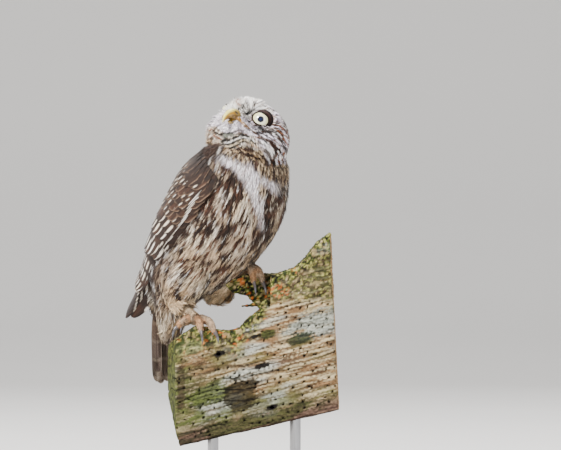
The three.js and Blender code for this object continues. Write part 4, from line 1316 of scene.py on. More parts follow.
# Lines on the head in real millimetres as the camera sees them: half width, colour, places across and up
FACE_LINES = [
    # Fan of dark lines over the front corner of the eye
    (0.4, DARK, [(12, 283.5), (10.5, 286), (10, 288.5), (10, 291)]),
    (0.4, DARK, [(11.5, 282.5), (9.5, 285), (8.5, 288), (9, 290.5)]),
    (0.4, DARK, [(10.5, 281.5), (8, 284.5), (7, 286.5), (6, 288.5)]),
    (0.4, DARK, [(9.5, 280.5), (7, 283), (5.5, 286), (4.5, 287.5)]),
    (0.35, DARK, [(9, 280.5), (6.5, 282.5), (4.5, 284), (3, 285)]),
    (0.3, BROWN, [(8.5, 280), (6.5, 281), (4.5, 282)]),
    (0.8, DARK, [(12, 282.5), (10.5, 281.5), (9, 280.5)]),
    # Rusty flecks on the forehead
    (0.7, RUFOUS, [(1, 290.5), (2.5, 288.5), (3.5, 287.5)]),
    (0.5, RUFOUS, [(1.5, 291.5), (4, 291.5)]),
    (0.3, BROWN, [(13.5, 290.5), (14.5, 288), (14, 286)]),
    # Wavy bands over the throat
    (0.8, DARK, [(-14, 267.5), (-11.5, 266.5), (-8.5, 266), (-6, 266.5), (-3.5, 267), (-1.5, 267)]),
    (1.3, GREY_GREEN, [(-7, 265), (-4.5, 265), (-2, 265.5)]),
    (0.4, BROWN, [(-0.5, 267.5), (1.5, 268.5), (4, 269), (6, 268.5)]),
    (0.9, DARK, [(-9.5, 261), (-6.5, 262.5), (-3.5, 262), (-0.5, 263), (2.5, 264.5), (5, 265.5), (8, 265),
        (10.5, 264.5)]),
    (0.95, DARK, [(-8.5, 259), (-6, 258.5), (-3, 259), (0, 260.5), (2, 261.5), (4.5, 262.5), (7, 263),
        (9.5, 263), (12, 261.5), (14, 260), (15.5, 258.5)]),
    (0.9, DARK, [(-7.5, 255.5), (-5, 255.5), (-2, 256.5), (1, 257.5), (3, 259), (5, 260.5), (7, 261),
        (9, 260.5), (11.5, 259.5)]),
    (0.5, CHOCOLATE, [(-0.5, 254.5), (2.5, 255.5), (5.5, 257), (8.5, 256.5), (12, 255.5), (14.5, 254)]),
    (0.45, CHOCOLATE, [(-14, 257), (-11.5, 255.5), (-8.5, 254.5), (-6, 254)]),
    (0.45, RUFOUS, [(-16.5, 265), (-14, 265), (-11.5, 264), (-9.5, 262.5)]),
    (0.4, DARK, [(-18.5, 259.5), (-16, 258), (-13, 258.5), (-10, 258)]),
    (0.45, WHITE, [(-6.5, 260), (-2.5, 260.5), (1, 262.5), (4, 264), (7.5, 264), (11.5, 263), (14.5, 261)]),
    (0.4, CREAM, [(-7.5, 257), (-3.5, 257.5), (0, 258.5), (2.5, 260), (5, 261.5), (8, 262), (11.5, 260.5),
        (14, 258.5)]),
    # Streaks of the far cheek
    (0.4, DARK, [(-23.5, 267), (-22, 268), (-20, 269)]),
    (0.35, BROWN, [(-20.5, 271.5), (-18.5, 273), (-17, 274)]),
    (0.4, RUFOUS, [(-18.5, 269), (-17, 270)]),
    # Dark end of the gape and the streak under the eye
    (0.85, DARK, [(15, 272.5), (17, 271.5), (19.5, 270.5), (20.5, 269.5)]),
    (0.7, DARK, [(16, 267.5), (17.5, 267), (19, 266.5)]),
    (0.4, BROWN, [(17, 265.5), (19, 264.5), (20, 264)]),
    # Streaks that run down the cheek
    (0.4, CHOCOLATE, [(22, 270), (24.5, 267.5), (27, 265), (29.5, 262)]),
    (0.4, CHOCOLATE, [(27, 269), (30, 266.5), (33.5, 263), (35.5, 261)]),
    (0.45, RUFOUS, [(30, 269.5), (34, 267), (37.5, 264.5), (40, 262.5)]),
    (0.4, DARK, [(23, 265.5), (25.5, 263), (28, 260.5), (30, 258)]),
    (0.45, DARK, [(20.5, 262), (22.5, 260.5), (25, 258.5)]),
    (0.4, CHOCOLATE, [(31.5, 263), (34, 260), (36, 257), (37.5, 254)]),
    (0.4, RUFOUS, [(34.5, 264), (37, 261), (39, 258)]),
    (0.4, DARK, [(33.5, 258.5), (36, 255.5), (38, 252), (39.5, 249)]),
    (0.4, DARK, [(32, 255.5), (34, 252), (36, 249), (37.5, 246)]),
    (0.4, CHOCOLATE, [(29.5, 253), (32, 250.5)]),
    (0.4, DARK, [(36.5, 258), (38.5, 254.5), (40, 251)]),
    (0.4, CHOCOLATE, [(20, 267), (22, 265.5), (24, 263.5)]),
    # Rusty streaks behind the eye
    (0.4, RUFOUS, [(32.5, 272), (35.5, 270), (38.5, 267.5)]),
    (0.4, CHOCOLATE, [(31.5, 275), (34, 274.5), (36.5, 273)]),
    (0.35, RUFOUS, [(27, 281), (28.5, 279.5), (30.5, 278)]),
    (0.35, RUFOUS, [(28, 277.5), (30, 276), (33, 275)]),
]


def distance_to(path, places):
    """Distance in mm from each place to a line of short straight runs."""
    nearest = np.full(len(places), 99.0)
    corners = np.array(path)
    for start, end in zip(corners, corners[1:]):
        run = end - start
        share = np.clip((places - start) @ run / (run @ run), 0, 1)
        nearest = np.minimum(nearest, np.linalg.norm(places - start - share[:, None] * run, axis=1))
    return nearest


def facing_places(local):
    """Places across and up as the camera sees them, mirrored to the near side where they lie behind."""
    middle = to_world(from_head(np.zeros((1, 3))))[0, 1]
    seen = to_world(from_head(local))
    other = to_world(from_head(local * np.array([1, -1, 1])))
    away = seen[:, 1] > middle
    seen = np.where(away[:, None], other, seen)
    return seen[:, [0, 2]] * 1000, seen[:, 1] < middle


def face_lines(local, colour, waver):
    places, facing = facing_places(local)
    places = places + 1.1 * waver[:, :2]
    for half, paint, path in FACE_LINES:
        corners = np.array(path)
        low, high = corners.min(0) - 2, corners.max(0) + 2
        close = np.nonzero(facing & ((places > low) & (places < high)).all(1))[0]
        if len(close):
            uneven = half * (1 + 1.3 * waver[close, 2])
            amount = step(0.25, -0.2, distance_to(path, places[close]) - uneven)
            colour[close] = mix(colour[close], paint, amount * 0.94)
    return colour


def head_field(p):
    """What the head's markings are drawn from at each place."""
    f = SimpleNamespace(p=p, local=to_head(p))
    f.alpha, f.beta, f.sideways = bill_angles(f.local)
    f.arc = f.alpha * 0.5
    f.around = np.radians(f.beta) * np.sin(np.radians(f.alpha)) * HEAD_ROUND
    f.warp = (layered_noise(p, 6.0, 301, 2) - 0.5) * 4
    f.broad = streaks(f.around * 0.8 + f.warp * 0.4, f.arc * 0.12, 311)
    f.fine = streaks(f.around * 1.5 + f.warp * 0.3, f.arc * 0.22, 316)
    f.streak = 0.45 * f.broad + 0.55 * f.fine
    f.lilac_white = mix(WHITE, LILAC, step(0.4, 0.7, f.broad))
    return f


def cheeks_and_crown(f):
    # Cheeks: brown and white streaks that run back from the bill and eye
    red_brown = mix(BROWN, RUFOUS, step(0.3, 0.7, noise(f.p, 4.0, 318)))
    colour = mix(red_brown, f.lilac_white, step(0.46, 0.52, f.streak))
    colour = mix(colour, DARK, step(0.42, 0.37, f.streak) * 0.85)
    # Crown and nape: brown with pale streaks and drops
    across, along, lottery = cells(f.around + f.warp * 0.4, f.arc, 4.2, 5.4, 321)
    spot = step(0.55, 0.3, np.hypot(across * 1.1, (along - 0.6) * 1.2)) * (lottery > 0.25)
    crown = mix(mix(BROWN, CHOCOLATE, lottery * 0.7), mix(WHITE, CREAM, 0.3), spot * 0.9)
    colour = mix(colour, crown, step(72, 88, f.alpha) * step(70, 48, f.sideways))
    nape = 100 + 28 * step(35, 55, f.sideways)
    return mix(colour, crown, step(nape, nape + 12, f.alpha))


def brows_and_lores(f, colour):
    # Brows and forehead: white, with a rusty tinge and a few dark streaks
    brow = step(74, 60, f.sideways + f.warp + 0.25 * (f.alpha - 30)) * step(66, 52, f.alpha + f.warp)
    tinged = mix(WHITE, mix(CREAM, RUFOUS, 0.5), 0.55 * step(0.58, 0.72, f.fine))
    tinged = mix(tinged, BROWN, 0.8 * step(0.6, 0.66, f.streak) * step(16, 30, f.alpha))
    colour = mix(colour, tinged, brow)
    lore = step(98, 84, f.sideways) * step(34, 24, f.alpha)
    colour = mix(colour, mix(WHITE, CREAM, 0.3 * f.fine), lore)
    # Behind each eye the feathers are rusty
    rusty = mix(WHITE, srgb(172, 122, 102), step(0.46, 0.6, f.fine))
    for side in (1, -1):
        eye = unit(mirrored(EYE_PLACE, side) + EYE_RADIUS * unit(mirrored(EYE_AXIS, side)))
        ring = np.degrees(np.arccos(np.clip(unit(f.local) @ eye, -1, 1)))
        rear = step(40, 58, f.alpha) * step(26, 18, ring) * step(95, 70, f.sideways)
        colour = mix(colour, rusty, rear * 0.8)
    return colour


def chin_and_throat(f, colour):
    """The plain chin, the wavy dark bands over the throat, and the brown below them."""
    edge = read_off(CHIN_EDGE, f.sideways) + f.warp * 0.7
    chin = mix(mix(LILAC, WHITE, 0.6 * f.fine), mix(BUFF, LILAC, 0.4), 0.5 * step(0.68, 0.78, f.streak))
    colour = mix(colour, chin, step(97, 103, f.sideways) * step(edge + 1, edge - 3, f.alpha))
    past = f.alpha - edge
    wave = np.sin((past + f.warp * 0.5 + 1.2 * np.sin(f.around * 0.5)) * math.tau / 6.0)
    paler = mix(mix(WHITE, CREAM, 0.5), mix(RUFOUS, BUFF, 0.5), step(0.5, 0.7, f.broad) * 0.8)
    band = step(0.15, 0.5, wave + 0.9 * (f.fine - 0.5)) * 0.75
    banded = mix(paler, mix(BROWN, CHOCOLATE, f.fine), band)
    throat = step(112, 120, f.sideways)
    colour = mix(colour, banded, throat * step(0, 2, past) * step(27, 21, past))
    mottle = 0.6 * streaks(f.around * 1.1, f.arc * 0.6, 341) + 0.4 * f.fine
    mottled = 0.9 * step(0.56, 0.63, mottle)
    collar = mix(mix(BROWN, CHOCOLATE, f.fine), mix(CREAM, BUFF, f.broad), mottled)
    return mix(colour, collar, throat * step(20, 25, past) * step(112, 96, f.alpha))


def head_colour(p):
    f = head_field(p)
    colour = chin_and_throat(f, brows_and_lores(f, cheeks_and_crown(f)))
    # White moustache that sweeps back below the cheek
    width = np.interp(f.alpha, [60, 70, 85, 100], [3, 5, 6.5, 5])
    moustache = step(width + 3, width - 2, np.abs(f.sideways - 110 + f.warp * 0.6))
    moustache = moustache * step(58, 66, f.alpha) * step(103, 96, f.alpha)
    combed_white = mix(f.lilac_white, mix(BROWN, CHOCOLATE, 0.5), step(0.47, 0.41, f.streak) * 0.9)
    colour = mix(colour, combed_white, moustache)
    waver = np.stack([noise(p, 1.4, 346), noise(p, 1.4, 347), noise(p, 2.0, 348)], -1) - 0.5
    return face_lines(f.local, colour, waver)


def leg_colour(p):
    fine = noise(p, 2.2, 401)
    return mix(mix(BUFF, CREAM, fine), BROWN, 0.45 * step(0.6, 0.8, noise(p, 3.5, 411)))


def toe_colour(p):
    fine = noise(p, 1.6, 421)
    rough = mix(mix(PINK, BUFF, 0.6), BROWN, 0.6 * step(0.45, 0.7, noise(p, 1.2, 426)))
    return mix(mix(rough, CREAM, 0.4 * fine), ORANGE, 0.6 * step(0.5, 0.7, noise(p, 4.0, 431)))


# Which part of the body a point belongs to

TRUNK, SHIN, TOE = 0, 1, 2
# Legs and feet are all below this height
LEG_TOP = -20


def limb_lines():
    """Points, directions and radii along shins and toes, to tell a point's limb."""
    places, ways, sizes, kinds = [], [], [], []
    t = np.linspace(0, 1, 20)
    for name, leg in LEGS.items():
        heel, ankle = np.array(leg["heel"], float), np.array(leg["ankle"], float)
        shin = [heel, heel + (ankle - heel) * SHIN_SHARE, ankle]
        lines = [(shin, curve([[r, 0] for r in TARSUS], t)[:, 0], SHIN)]
        lines += [(toe_path(leg, toe)[0], np.full(len(t), TOE_RADIUS), TOE) for toe in TOES[name].values()]
        for path, size, kind in lines:
            places.append(curve(path, t))
            ways.append(slope(path, t))
            sizes.append(size)
            kinds.append(np.full(len(t), kind))
    return np.vstack(places), np.vstack(ways), np.concatenate(sizes), np.concatenate(kinds)


LIMB_PLACES, LIMB_WAYS, LIMB_SIZES, LIMB_KINDS = limb_lines()


def parts_of(p):
    """The part for each point, and the way along its limb."""
    kind = np.zeros(len(p), int)
    way = np.zeros((len(p), 3))
    low = np.where(p[:, 2] < LEG_TOP)[0]
    for start in range(0, len(low), BLOCK):
        chosen = low[start : start + BLOCK]
        away = np.linalg.norm(p[chosen][:, None] - LIMB_PLACES[None], axis=-1) - LIMB_SIZES[None]
        nearest = away.argmin(1)
        close = away[np.arange(len(chosen)), nearest] < 0.9
        kind[chosen] = np.where(close, LIMB_KINDS[nearest], 0)
        way[chosen] = LIMB_WAYS[nearest]
    return kind, way


def head_share(p, room=0.0):
    """1 on the head, 0 on the trunk, smooth at the neck."""
    local = to_head(p)
    size = np.linalg.norm(local, axis=1)
    reach = head_reach(unit(local)) - HEAD_COAT
    behind = step(95, 120, bill_angles(local)[0])
    return step(1.16 + room, 1.03 + room, size / reach) * (1 - 0.3 * behind)


def plumage_colour(p):
    kind, _ = parts_of(p)
    share = head_share(p)
    ragged = share + 0.25 * (noise(p, 3.0, 441) - 0.5)
    colour = mix(torso_colour(p), head_colour(p), step(0.35, 0.65, ragged))
    colour = np.where((kind == SHIN)[:, None], leg_colour(p), colour)
    return np.where((kind == TOE)[:, None], toe_colour(p), colour)


def head_and_neck(p):
    """The head's own markings, so that feathers that stand off it keep them."""
    share = head_share(p, 0.15)[:, None]
    return np.where(share > 0.4, head_colour(p), plumage_colour(p))


def lie(p):
    """The way the feathers point at each place: back from the bill, down the trunk and along the limbs."""
    kind, limb_way = parts_of(p)
    local = to_head(p)
    d = unit(local)
    head_way = unit(np.array([[-1.0, 0, 0]]) + d[:, :1] * d)
    for side in (1, -1):
        eye = unit(mirrored(EYE_PLACE, side) + 6 * unit(mirrored(EYE_AXIS, side)))
        cosine = np.clip(d @ eye, -1, 1)
        from_eye = unit(cosine[:, None] * d - eye)
        away = np.degrees(np.arccos(cosine))
        head_way = head_way + from_eye * (1.8 * np.exp(-((away / 26) ** 2)))[:, None]
    head_way = unit(head_way) @ HEAD_AXES.T
    down = trunk_place(p)[3]
    # Flank feathers lean back and down
    trunk_way = unit(down + np.array([-0.12, 0, -0.1]))
    share = head_share(p)[:, None]
    way = unit(head_way * share + trunk_way * (1 - share))
    limb = (kind == SHIN) | (kind == TOE)
    return np.where(limb[:, None], limb_way, way)


# Roots and combing

SAMPLES = 700000
# How far the feathers stray from the lie
WAYWARD = 0.5
# Width of a tuft's patch on the skin's unwrap
PATCH = 0.003


def sample_skin(count, rng):
    """Even random points on the skin."""
    a, b, c = (skin_points[triangles[:, i]] for i in range(3))
    area = np.linalg.norm(np.cross(b - a, c - a), axis=1)
    chosen = rng.choice(len(triangles), count, p=area / area.sum())
    u, v = rng.random(count), rng.random(count)
    flip = u + v > 1
    u[flip], v[flip] = 1 - u[flip], 1 - v[flip]
    return a[chosen] + (b - a)[chosen] * u[:, None] + (c - a)[chosen] * v[:, None]


def thinned(points, spacing, rng):
    """Indices that leave at most one point to a cell, twice over with shifted cells."""
    keep = np.arange(len(points))
    for shift in (0.0, 0.5):
        key = np.floor(points[keep] / spacing + shift).astype(np.int64)
        order = rng.permutation(len(keep))
        _, first = np.unique(key[order], axis=0, return_index=True)
        keep = keep[order[first]]
    return keep


def combed(roots, lengths, steps):
    """Places and normals along each feather's line, followed over the skin from its root."""
    count = len(roots)
    places = np.zeros((count, steps + 1, 3))
    normals = np.zeros((count, steps + 1, 3))
    here = roots.copy()
    for k in range(steps + 1):
        found = [SKIN_TREE.find_nearest(q) for q in here.tolist()]
        here = np.array([f[0] for f in found])
        normal = np.array([f[1] for f in found])
        places[:, k], normals[:, k] = here, normal
        if k == steps:
            break
        way = lie(here)
        way = way + WAYWARD * (np.stack([noise(here, 5.0, 500 + i) for i in range(3)], -1) - 0.5)
        way = unit(way - (way * normal).sum(1, keepdims=True) * normal)
        here = here + way * (lengths / steps)[:, None]
    return places, normals


class Coat:
    """Gathers strands of one piece: points, faces, colours and each tuft's patch on the skin's unwrap."""

    def __init__(self, name):
        self.name = name
        self.points, self.faces, self.colours, self.spots = [], [], [], []
        self.count = 0

    def add(self, points, faces, colours, spots):
        self.points.append(points)
        self.faces.append(faces + self.count)
        self.colours.append(colours)
        self.spots.append(spots)
        self.count += len(points)

    def build(self, slot="plumage", *replaced):
        faces = np.vstack(self.faces)
        made = add_mesh(self.name, to_world(np.vstack(self.points)), faces, COAT)
        paint_points(made, np.vstack(self.colours))
        spots = np.vstack(self.spots)
        layer = made.data.uv_layers.new(name="OFBake")
        layer.data.foreach_set("uv", spots[faces.ravel()].astype(np.float32).ravel())
        declared(made, slot, *replaced)


def unwrap(p):
    """Place of body points on the skin's unwrap: the head, trunk, shins and toes each in its own field."""
    kind, _ = parts_of(p)
    local = unit(to_head(p))
    head_u = 0.5 + np.arctan2(local[:, 1], local[:, 0]) / math.tau
    head_v = 0.5 + np.arcsin(np.clip(local[:, 2], -1, 1)) / math.pi
    t, angle, _, _ = trunk_place(p)
    spot = np.stack([0.01 + 0.98 * ((angle + 180) % 360) / 360, 0.01 + 0.52 * t], -1)
    on_head = head_share(p) > 0.5
    spot = np.where(on_head[:, None], np.stack([0.01 + 0.68 * head_u, 0.55 + 0.44 * head_v], -1), spot)
    away = np.linalg.norm(p[:, None] - LIMB_PLACES[None, ::4], axis=-1).argmin(1)
    limb_u = 0.71 + 0.28 * away / len(LIMB_PLACES[::4])
    limb_spot = np.stack([limb_u, 0.56 + 0.42 * ((p[:, 2] + p[:, 1]) % 9) / 9], -1)
    return np.where((kind != TRUNK)[:, None], limb_spot, spot)


# How a tuft is made unless told otherwise: strands, how uneven their ends are, how far they fan out, how dark
# the root's painted shade is, how far the tip stands off, what paints it, and how much of its own colour each
# place keeps
TUFT = {
    "strands": 4,
    "ragged": 0.25,
    "spread": 1.0,
    "root_shade": 0.42,
    "stand": 0.0,
    "painter": None,
    "own": 0.8,
}


def strand_faces(count, steps):
    """Triangles of flat strands with two points at each step and one at the tip."""
    fans = []
    for a in range(0, 2 * steps - 2, 2):
        fans += [(a, a + 1, a + 3), (a, a + 3, a + 2)]
    fans.append((2 * steps - 2, 2 * steps - 1, 2 * steps))
    first = np.arange(count) * (2 * steps + 1)
    return (first[:, None, None] + np.array(fans)).reshape(-1, 3)


def strand_colours(look, seen, tone, shade):
    """Colours at a strand's places, evened a little towards its tip, with painted shade at the root."""
    count, steps = seen.shape[:2]
    painted = (look.painter or plumage_colour)(seen.reshape(-1, 3)).reshape(count, steps, 3)
    painted = painted * look.own + painted[:, -1:] * (1 - look.own)
    painted = np.concatenate([painted[:, :1], painted], 1)
    level = np.repeat(np.arange(steps), 2).tolist() + [steps]
    return np.clip(painted[:, level] * shade[None, level, None] * tone[:, None, None], 0, 1)


def add_tufts(coat, roots, lines, length, width, lift, rng, **changes):
    """Tufts of narrow pointed strands that follow each root's line, given as places and normals."""
    look = SimpleNamespace(**(TUFT | changes))
    places, normals = lines
    count, steps = len(roots), places.shape[1] - 1
    tangent = np.zeros_like(places)
    tangent[:, :-1] = places[:, 1:] - places[:, :-1]
    tangent[:, -1] = tangent[:, -2]
    side = unit(np.cross(normals, unit(tangent)))
    s = np.linspace(0, 1, steps + 1)
    shade = look.root_shade + (1 - look.root_shade) * step(0.0, 0.6, s)
    profile = np.interp(s, [0, 0.3, 0.75, 1], [0.75, 1.0, 0.72, 0.0])
    half = width / look.strands * 0.62
    across_patch = np.array([0, 1] * steps + [0.5])
    along_patch = np.append(np.repeat(s[:-1], 2), s[-1])
    spots = unwrap(roots)
    pick = np.arange(count)[:, None]
    tuft_tone = 1 + 0.22 * (rng.random(count) - 0.5)
    for strand in range(look.strands):
        fan = (strand - (look.strands - 1) / 2) / max(look.strands - 1, 1) * 2
        short = 1 - look.ragged * rng.random(count) - 0.2 * abs(fan)
        at = s[None] * short[:, None] * steps
        low = np.minimum(at.astype(int), steps - 1)
        share = (at - low)[..., None]
        line = places[pick, low] * (1 - share) + places[pick, low + 1] * share
        normal = unit(normals[pick, low] * (1 - share) + normals[pick, low + 1] * share)
        across = side[pick, low]
        jitter = 0.3 * (rng.random(count) - 0.5)
        offset = (fan + jitter)[:, None] * (0.25 + 0.75 * s[None] * look.spread) * width[:, None] * 0.5
        curl = (rng.random(count) - 0.5)[:, None] * s[None] ** 2 * width[:, None] * 0.5
        rise = lift[:, None] * (1 - (1 - s[None]) ** 1.7) * (0.82 + 0.36 * rng.random(count))[:, None]
        rise = rise - 0.14 * abs(fan) * lift[:, None] * s[None] + look.stand * s[None] * length[:, None]
        line = line + across * (offset + curl)[..., None] + normal * (rise - 0.5)[..., None]
        turned = across + normal * ((rng.random(count) - 0.5) * 0.7)[:, None, None]
        wide = turned * (half[:, None] * profile[None])[..., None]
        points = np.zeros((count, 2 * steps + 1, 3))
        points[:, 0 : 2 * steps : 2] = line[:, :-1] - wide[:, :-1]
        points[:, 1 : 2 * steps : 2] = line[:, :-1] + wide[:, :-1]
        points[:, -1] = line[:, -1]
        tone = tuft_tone * (1 + 0.55 * (rng.random(count) - 0.55))
        # The coat's markings are read from just over the skin, the head's from the strand's own height
        below = 0.9 if look.painter is None else 0.0
        seen = line[:, 1:] - normal[:, 1:] * (rise[:, 1:] * below)[..., None]
        colours = strand_colours(look, seen, tone, shade)
        local = np.stack([0.5 + 0.25 * (across_patch - 0.5) + 0.25 * fan, along_patch], -1)
        patch = spots[:, None] + PATCH * (local[None] - 0.5)
        faces = strand_faces(count, steps)
        coat.add(points.reshape(-1, 3), faces, colours.reshape(-1, 3), patch.reshape(-1, 2))


def near_bill(p, clear=0.0):
    """Places that the bill, the eyes or their lids cover, with more room over the lids where asked."""
    local = to_head(p)
    covered = np.zeros(len(p), bool)
    for side in (1, -1):
        axis = unit(mirrored(EYE_AXIS, side))
        offset = local - mirrored(EYE_PLACE, side)
        ahead = offset @ axis
        flat = offset - ahead[:, None] * axis
        away = np.linalg.norm(flat, axis=1)
        _, level, up = eye_axes(side)
        _, dark = lid_edges(np.arctan2(flat @ up, side * (flat @ level)))
        front = np.maximum(flat @ up, 0) / np.maximum(away, 0.1)
        covered |= (away < np.maximum(dark + 0.3, 8.0) + (2.6 + clear) * front) & (ahead > -3)
    path = curve([[r[0], 0, r[1]] for r in BILL_UPPER], np.linspace(0, 1, 12))
    size = curve([[r[2], 0] for r in BILL_UPPER], np.linspace(0, 1, 12))[:, 0]
    away = np.linalg.norm(local[:, None] - path[None], axis=-1) - size[None] * 0.92
    return covered | (away.min(1) < 0)


def coat_roots(rng):
    """Random places over the skin, told apart as head, trunk and limbs."""
    points = sample_skin(SAMPLES, rng)
    kind, _ = parts_of(points)
    on_head = head_share(points) > 0.45
    head = on_head & (kind == TRUNK) & ~near_bill(points)
    return SimpleNamespace(points=points, kind=kind, head=head, trunk=~on_head & (kind == TRUNK))


def head_coat(found, rng):
    roots = found.points[found.head]
    roots = roots[thinned(roots, 1.0, rng)]
    alpha, _, _ = bill_angles(to_head(roots))
    size = np.interp(alpha, [0, 35, 60, 90, 180], [2.6, 3.4, 4.8, 7.0, 9.5])
    depth = np.interp(alpha, [0, 40, 80, 180], [1.5, 2.4, 3.8, 4.4])
    look = {"root_shade": 0.6, "painter": head_and_neck, "own": 0.95}
    for i, rows in enumerate(np.array_split(np.arange(len(roots)), 2)):
        coat = Coat(f"coat_head_{i + 1}")
        length = size[rows] * (0.8 + 0.4 * rng.random(len(rows)))
        lines = combed(roots[rows], length, 5)
        add_tufts(coat, roots[rows], lines, length, 0.4 * length, depth[rows], rng, **look)
        coat.build()


def face_spikes(found, rng):
    """Spiky white feathers that stand off the forehead, lores and far cheek."""
    alpha, _, sideways = bill_angles(to_head(found.points))
    spiky = ((alpha < 46) & (sideways < 62)) | ((alpha < 27) & (sideways < 100))
    spiky |= (alpha < 75) & (np.abs(sideways - 112) < 26)
    roots = found.points[found.head & spiky & ~near_bill(found.points, 4.0)]
    roots = roots[thinned(roots, 1.5, rng)]
    alpha, _, sideways = bill_angles(to_head(roots))
    size = np.interp(alpha, [5, 20, 45, 75], [5.0, 6.5, 6.5, 7.5])
    size = size * (1 - 0.25 * step(80, 92, sideways) * (alpha < 50))
    length = size * (0.75 + 0.5 * rng.random(len(roots)))
    look = {"strands": 3, "ragged": 0.5, "stand": 0.42, "painter": head_and_neck, "own": 0.95}
    coat = Coat("coat_face_spikes")
    lines = combed(roots, length, 5)
    add_tufts(coat, roots, lines, length, 0.24 * length, np.full(len(roots), 2.6), rng, **look)
    coat.build()


def lore_bristles(found, rng):
    """Bristly feathers between the bill and the eyes that rise in front of the far eye."""
    alpha, beta, _ = bill_angles(to_head(found.points))
    roots = found.points[found.head & (alpha < 32) & (beta > 236) & (beta < 345)]
    roots = roots[thinned(roots, 1.0, rng)]
    normal = np.array([SKIN_TREE.find_nearest(q)[1] for q in roots.tolist()])
    away = unit(to_head(roots) * np.array([0, 1, 1])) @ HEAD_AXES.T
    way = unit(normal + 0.42 * away + 0.3 * rng.normal(0, 1, roots.shape) * 0.6)
    reach = 5.2 + 2.6 * rng.random(len(roots))
    s = np.linspace(0, 1, 5)
    bend = away[:, None] * (0.16 * s[None, :, None] ** 2)
    places = roots[:, None] + (way[:, None] * s[None, :, None] + bend) * reach[:, None, None]
    side = unit(np.cross(way, away))
    lines = places, np.repeat(unit(np.cross(side, way))[:, None], 5, 1)
    look = {"ragged": 0.4, "root_shade": 0.7, "painter": head_colour}
    coat = Coat("coat_lores")
    add_tufts(coat, roots, lines, reach, 0.26 * reach, np.full(len(roots), 0.3), rng, **look)
    coat.build()


LID_ROUND = 110
LID_ROWS = [0.0, 0.45, 0.9]


def lid_feathers(rng):
    """Tiny feathers that run on from the lids."""
    coat = Coat("coat_lids")
    count = LID_ROUND * len(LID_ROWS)
    for side in (1, -1):
        angle = np.repeat(np.linspace(0, 2 * math.pi, LID_ROUND, endpoint=False), len(LID_ROWS))
        angle = angle + 0.03 * rng.normal(0, 1, count)
        _, dark = lid_edges(angle)
        start = dark + 0.05 + np.maximum(8.5 - dark, 0.4) * np.tile(LID_ROWS, LID_ROUND)
        reach = 1.9 + 1.1 * rng.random(count)
        s = np.linspace(0, 1, 4)
        radius = start[:, None] + reach[:, None] * s[None]
        ahead = globe_height(start, angle)[:, None] + 0.25 + reach[:, None] * s[None] * 0.12
        line = lid_point(side, radius, angle[:, None] + 0 * radius, ahead)
        places = from_head(line.reshape(-1, 3)).reshape(count, 4, 3)
        axis = np.repeat(unit(mirrored(EYE_AXIS, side))[None], count, 0)
        lines = places, np.repeat((axis @ HEAD_AXES.T)[:, None], 4, 1)
        look = {"strands": 3, "root_shade": 0.8, "painter": head_colour}
        add_tufts(coat, places[:, 0], lines, reach, 0.5 * reach, np.full(count, 0.5), rng, **look)
    coat.build()


# Trunk feathers: lengths at heights up the body, width for the length, and how they are made
COAT_MOST = 180000
TRUNK_LIFT = 5.6
SHORT_FEATHERS = ([-60, 0, 40, 60], [14, 12.5, 11, 9], 0.32, {"ragged": 0.3})
LOOSE_FEATHERS = ([-85, -60, -20, 8], [14, 22, 20, 15], 0.22, {"ragged": 0.4, "spread": 1.2})


def trunk_coat(found, rng):
    """Breast and back, and the long loose feathers of flank, belly and vent."""
    chosen = found.points[found.trunk]
    chosen = chosen[thinned(chosen, 1.35, rng)]
    _, angle, _, _ = trunk_place(chosen)
    front = (angle > 70) & (angle < 290)
    loose = front & (chosen[:, 2] < 8 + 6 * noise(chosen, 8.0, 601))
    groups = {"coat_breast": ~loose & front, "coat_back": ~front, "coat_flank": loose}
    for name, mask in groups.items():
        heights, lengths, narrow, look = LOOSE_FEATHERS if name == "coat_flank" else SHORT_FEATHERS
        parts = max(1, math.ceil(mask.sum() * 35 / COAT_MOST))
        for i, roots in enumerate(np.array_split(chosen[mask], parts)):
            coat = Coat(f"{name}_{i + 1}")
            length = np.interp(roots[:, 2], heights, lengths) * (0.8 + 0.4 * rng.random(len(roots)))
            lines = combed(roots, length, 4)
            lift = np.full(len(roots), TRUNK_LIFT)
            add_tufts(coat, roots, lines, length, narrow * length, lift, rng, strands=5, **look)
            coat.build()


def leg_coat(found, rng):
    coat = Coat("coat_legs")
    for part, spacing, reach, lift in ((SHIN, 0.9, 4.2, 1.6), (TOE, 0.75, 2.8, 1.3)):
        roots = found.points[found.kind == part]
        roots = roots[thinned(roots, spacing, rng)]
        length = reach * (0.8 + 0.4 * rng.random(len(roots)))
        lines = combed(roots, length, 3)
        lifts = np.full(len(roots), lift)
        add_tufts(coat, roots, lines, length, 0.4 * length, lifts, rng, strands=3, root_shade=0.6)
    coat.build("leg")


def make_coat():
    rng = np.random.default_rng(29)
    found = coat_roots(rng)
    head_coat(found, rng)
    face_spikes(found, rng)
    lore_bristles(found, rng)
    lid_feathers(rng)
    trunk_coat(found, rng)
    leg_coat(found, rng)


# The skin under the feathers takes the plumage's colours darkened to 0.55, as painted shade between the tufts
paint_points(skin, plumage_colour(skin_points) * 0.55)
skin.data.materials.append(SHADED_UNDERLAYER)
declared(skin, "plumage", "head", "neck", "torso", "leg_left", "leg_right", "foot_left", "foot_right")
make_coat()


# Wings and tail

WING_LENGTH = float(np.linalg.norm(WING_END - WING_START))
WING_ALONG = (WING_END - WING_START) / WING_LENGTH
WING_OUT = np.array([WING_ALONG[2], 0, -WING_ALONG[0]])


def wing_point(along, turn, height, side):
    """A place on the folded wing's shell: mm from the shoulder, degrees round from the back, height."""
    along, turn, height = np.broadcast_arrays(np.asarray(along, float), np.radians(turn), height)
    radii = curve(WING_RADII, (along - WING_FRONT) / (WING_LENGTH - WING_FRONT))
    up = np.cos(turn) * (radii[..., 1] + height)
    out = side * np.sin(turn) * (radii[..., 0] + height)
    base = WING_START + along[..., None] * WING_ALONG
    return base + up[..., None] * WING_OUT + out[..., None] * np.array([0, 1, 0])


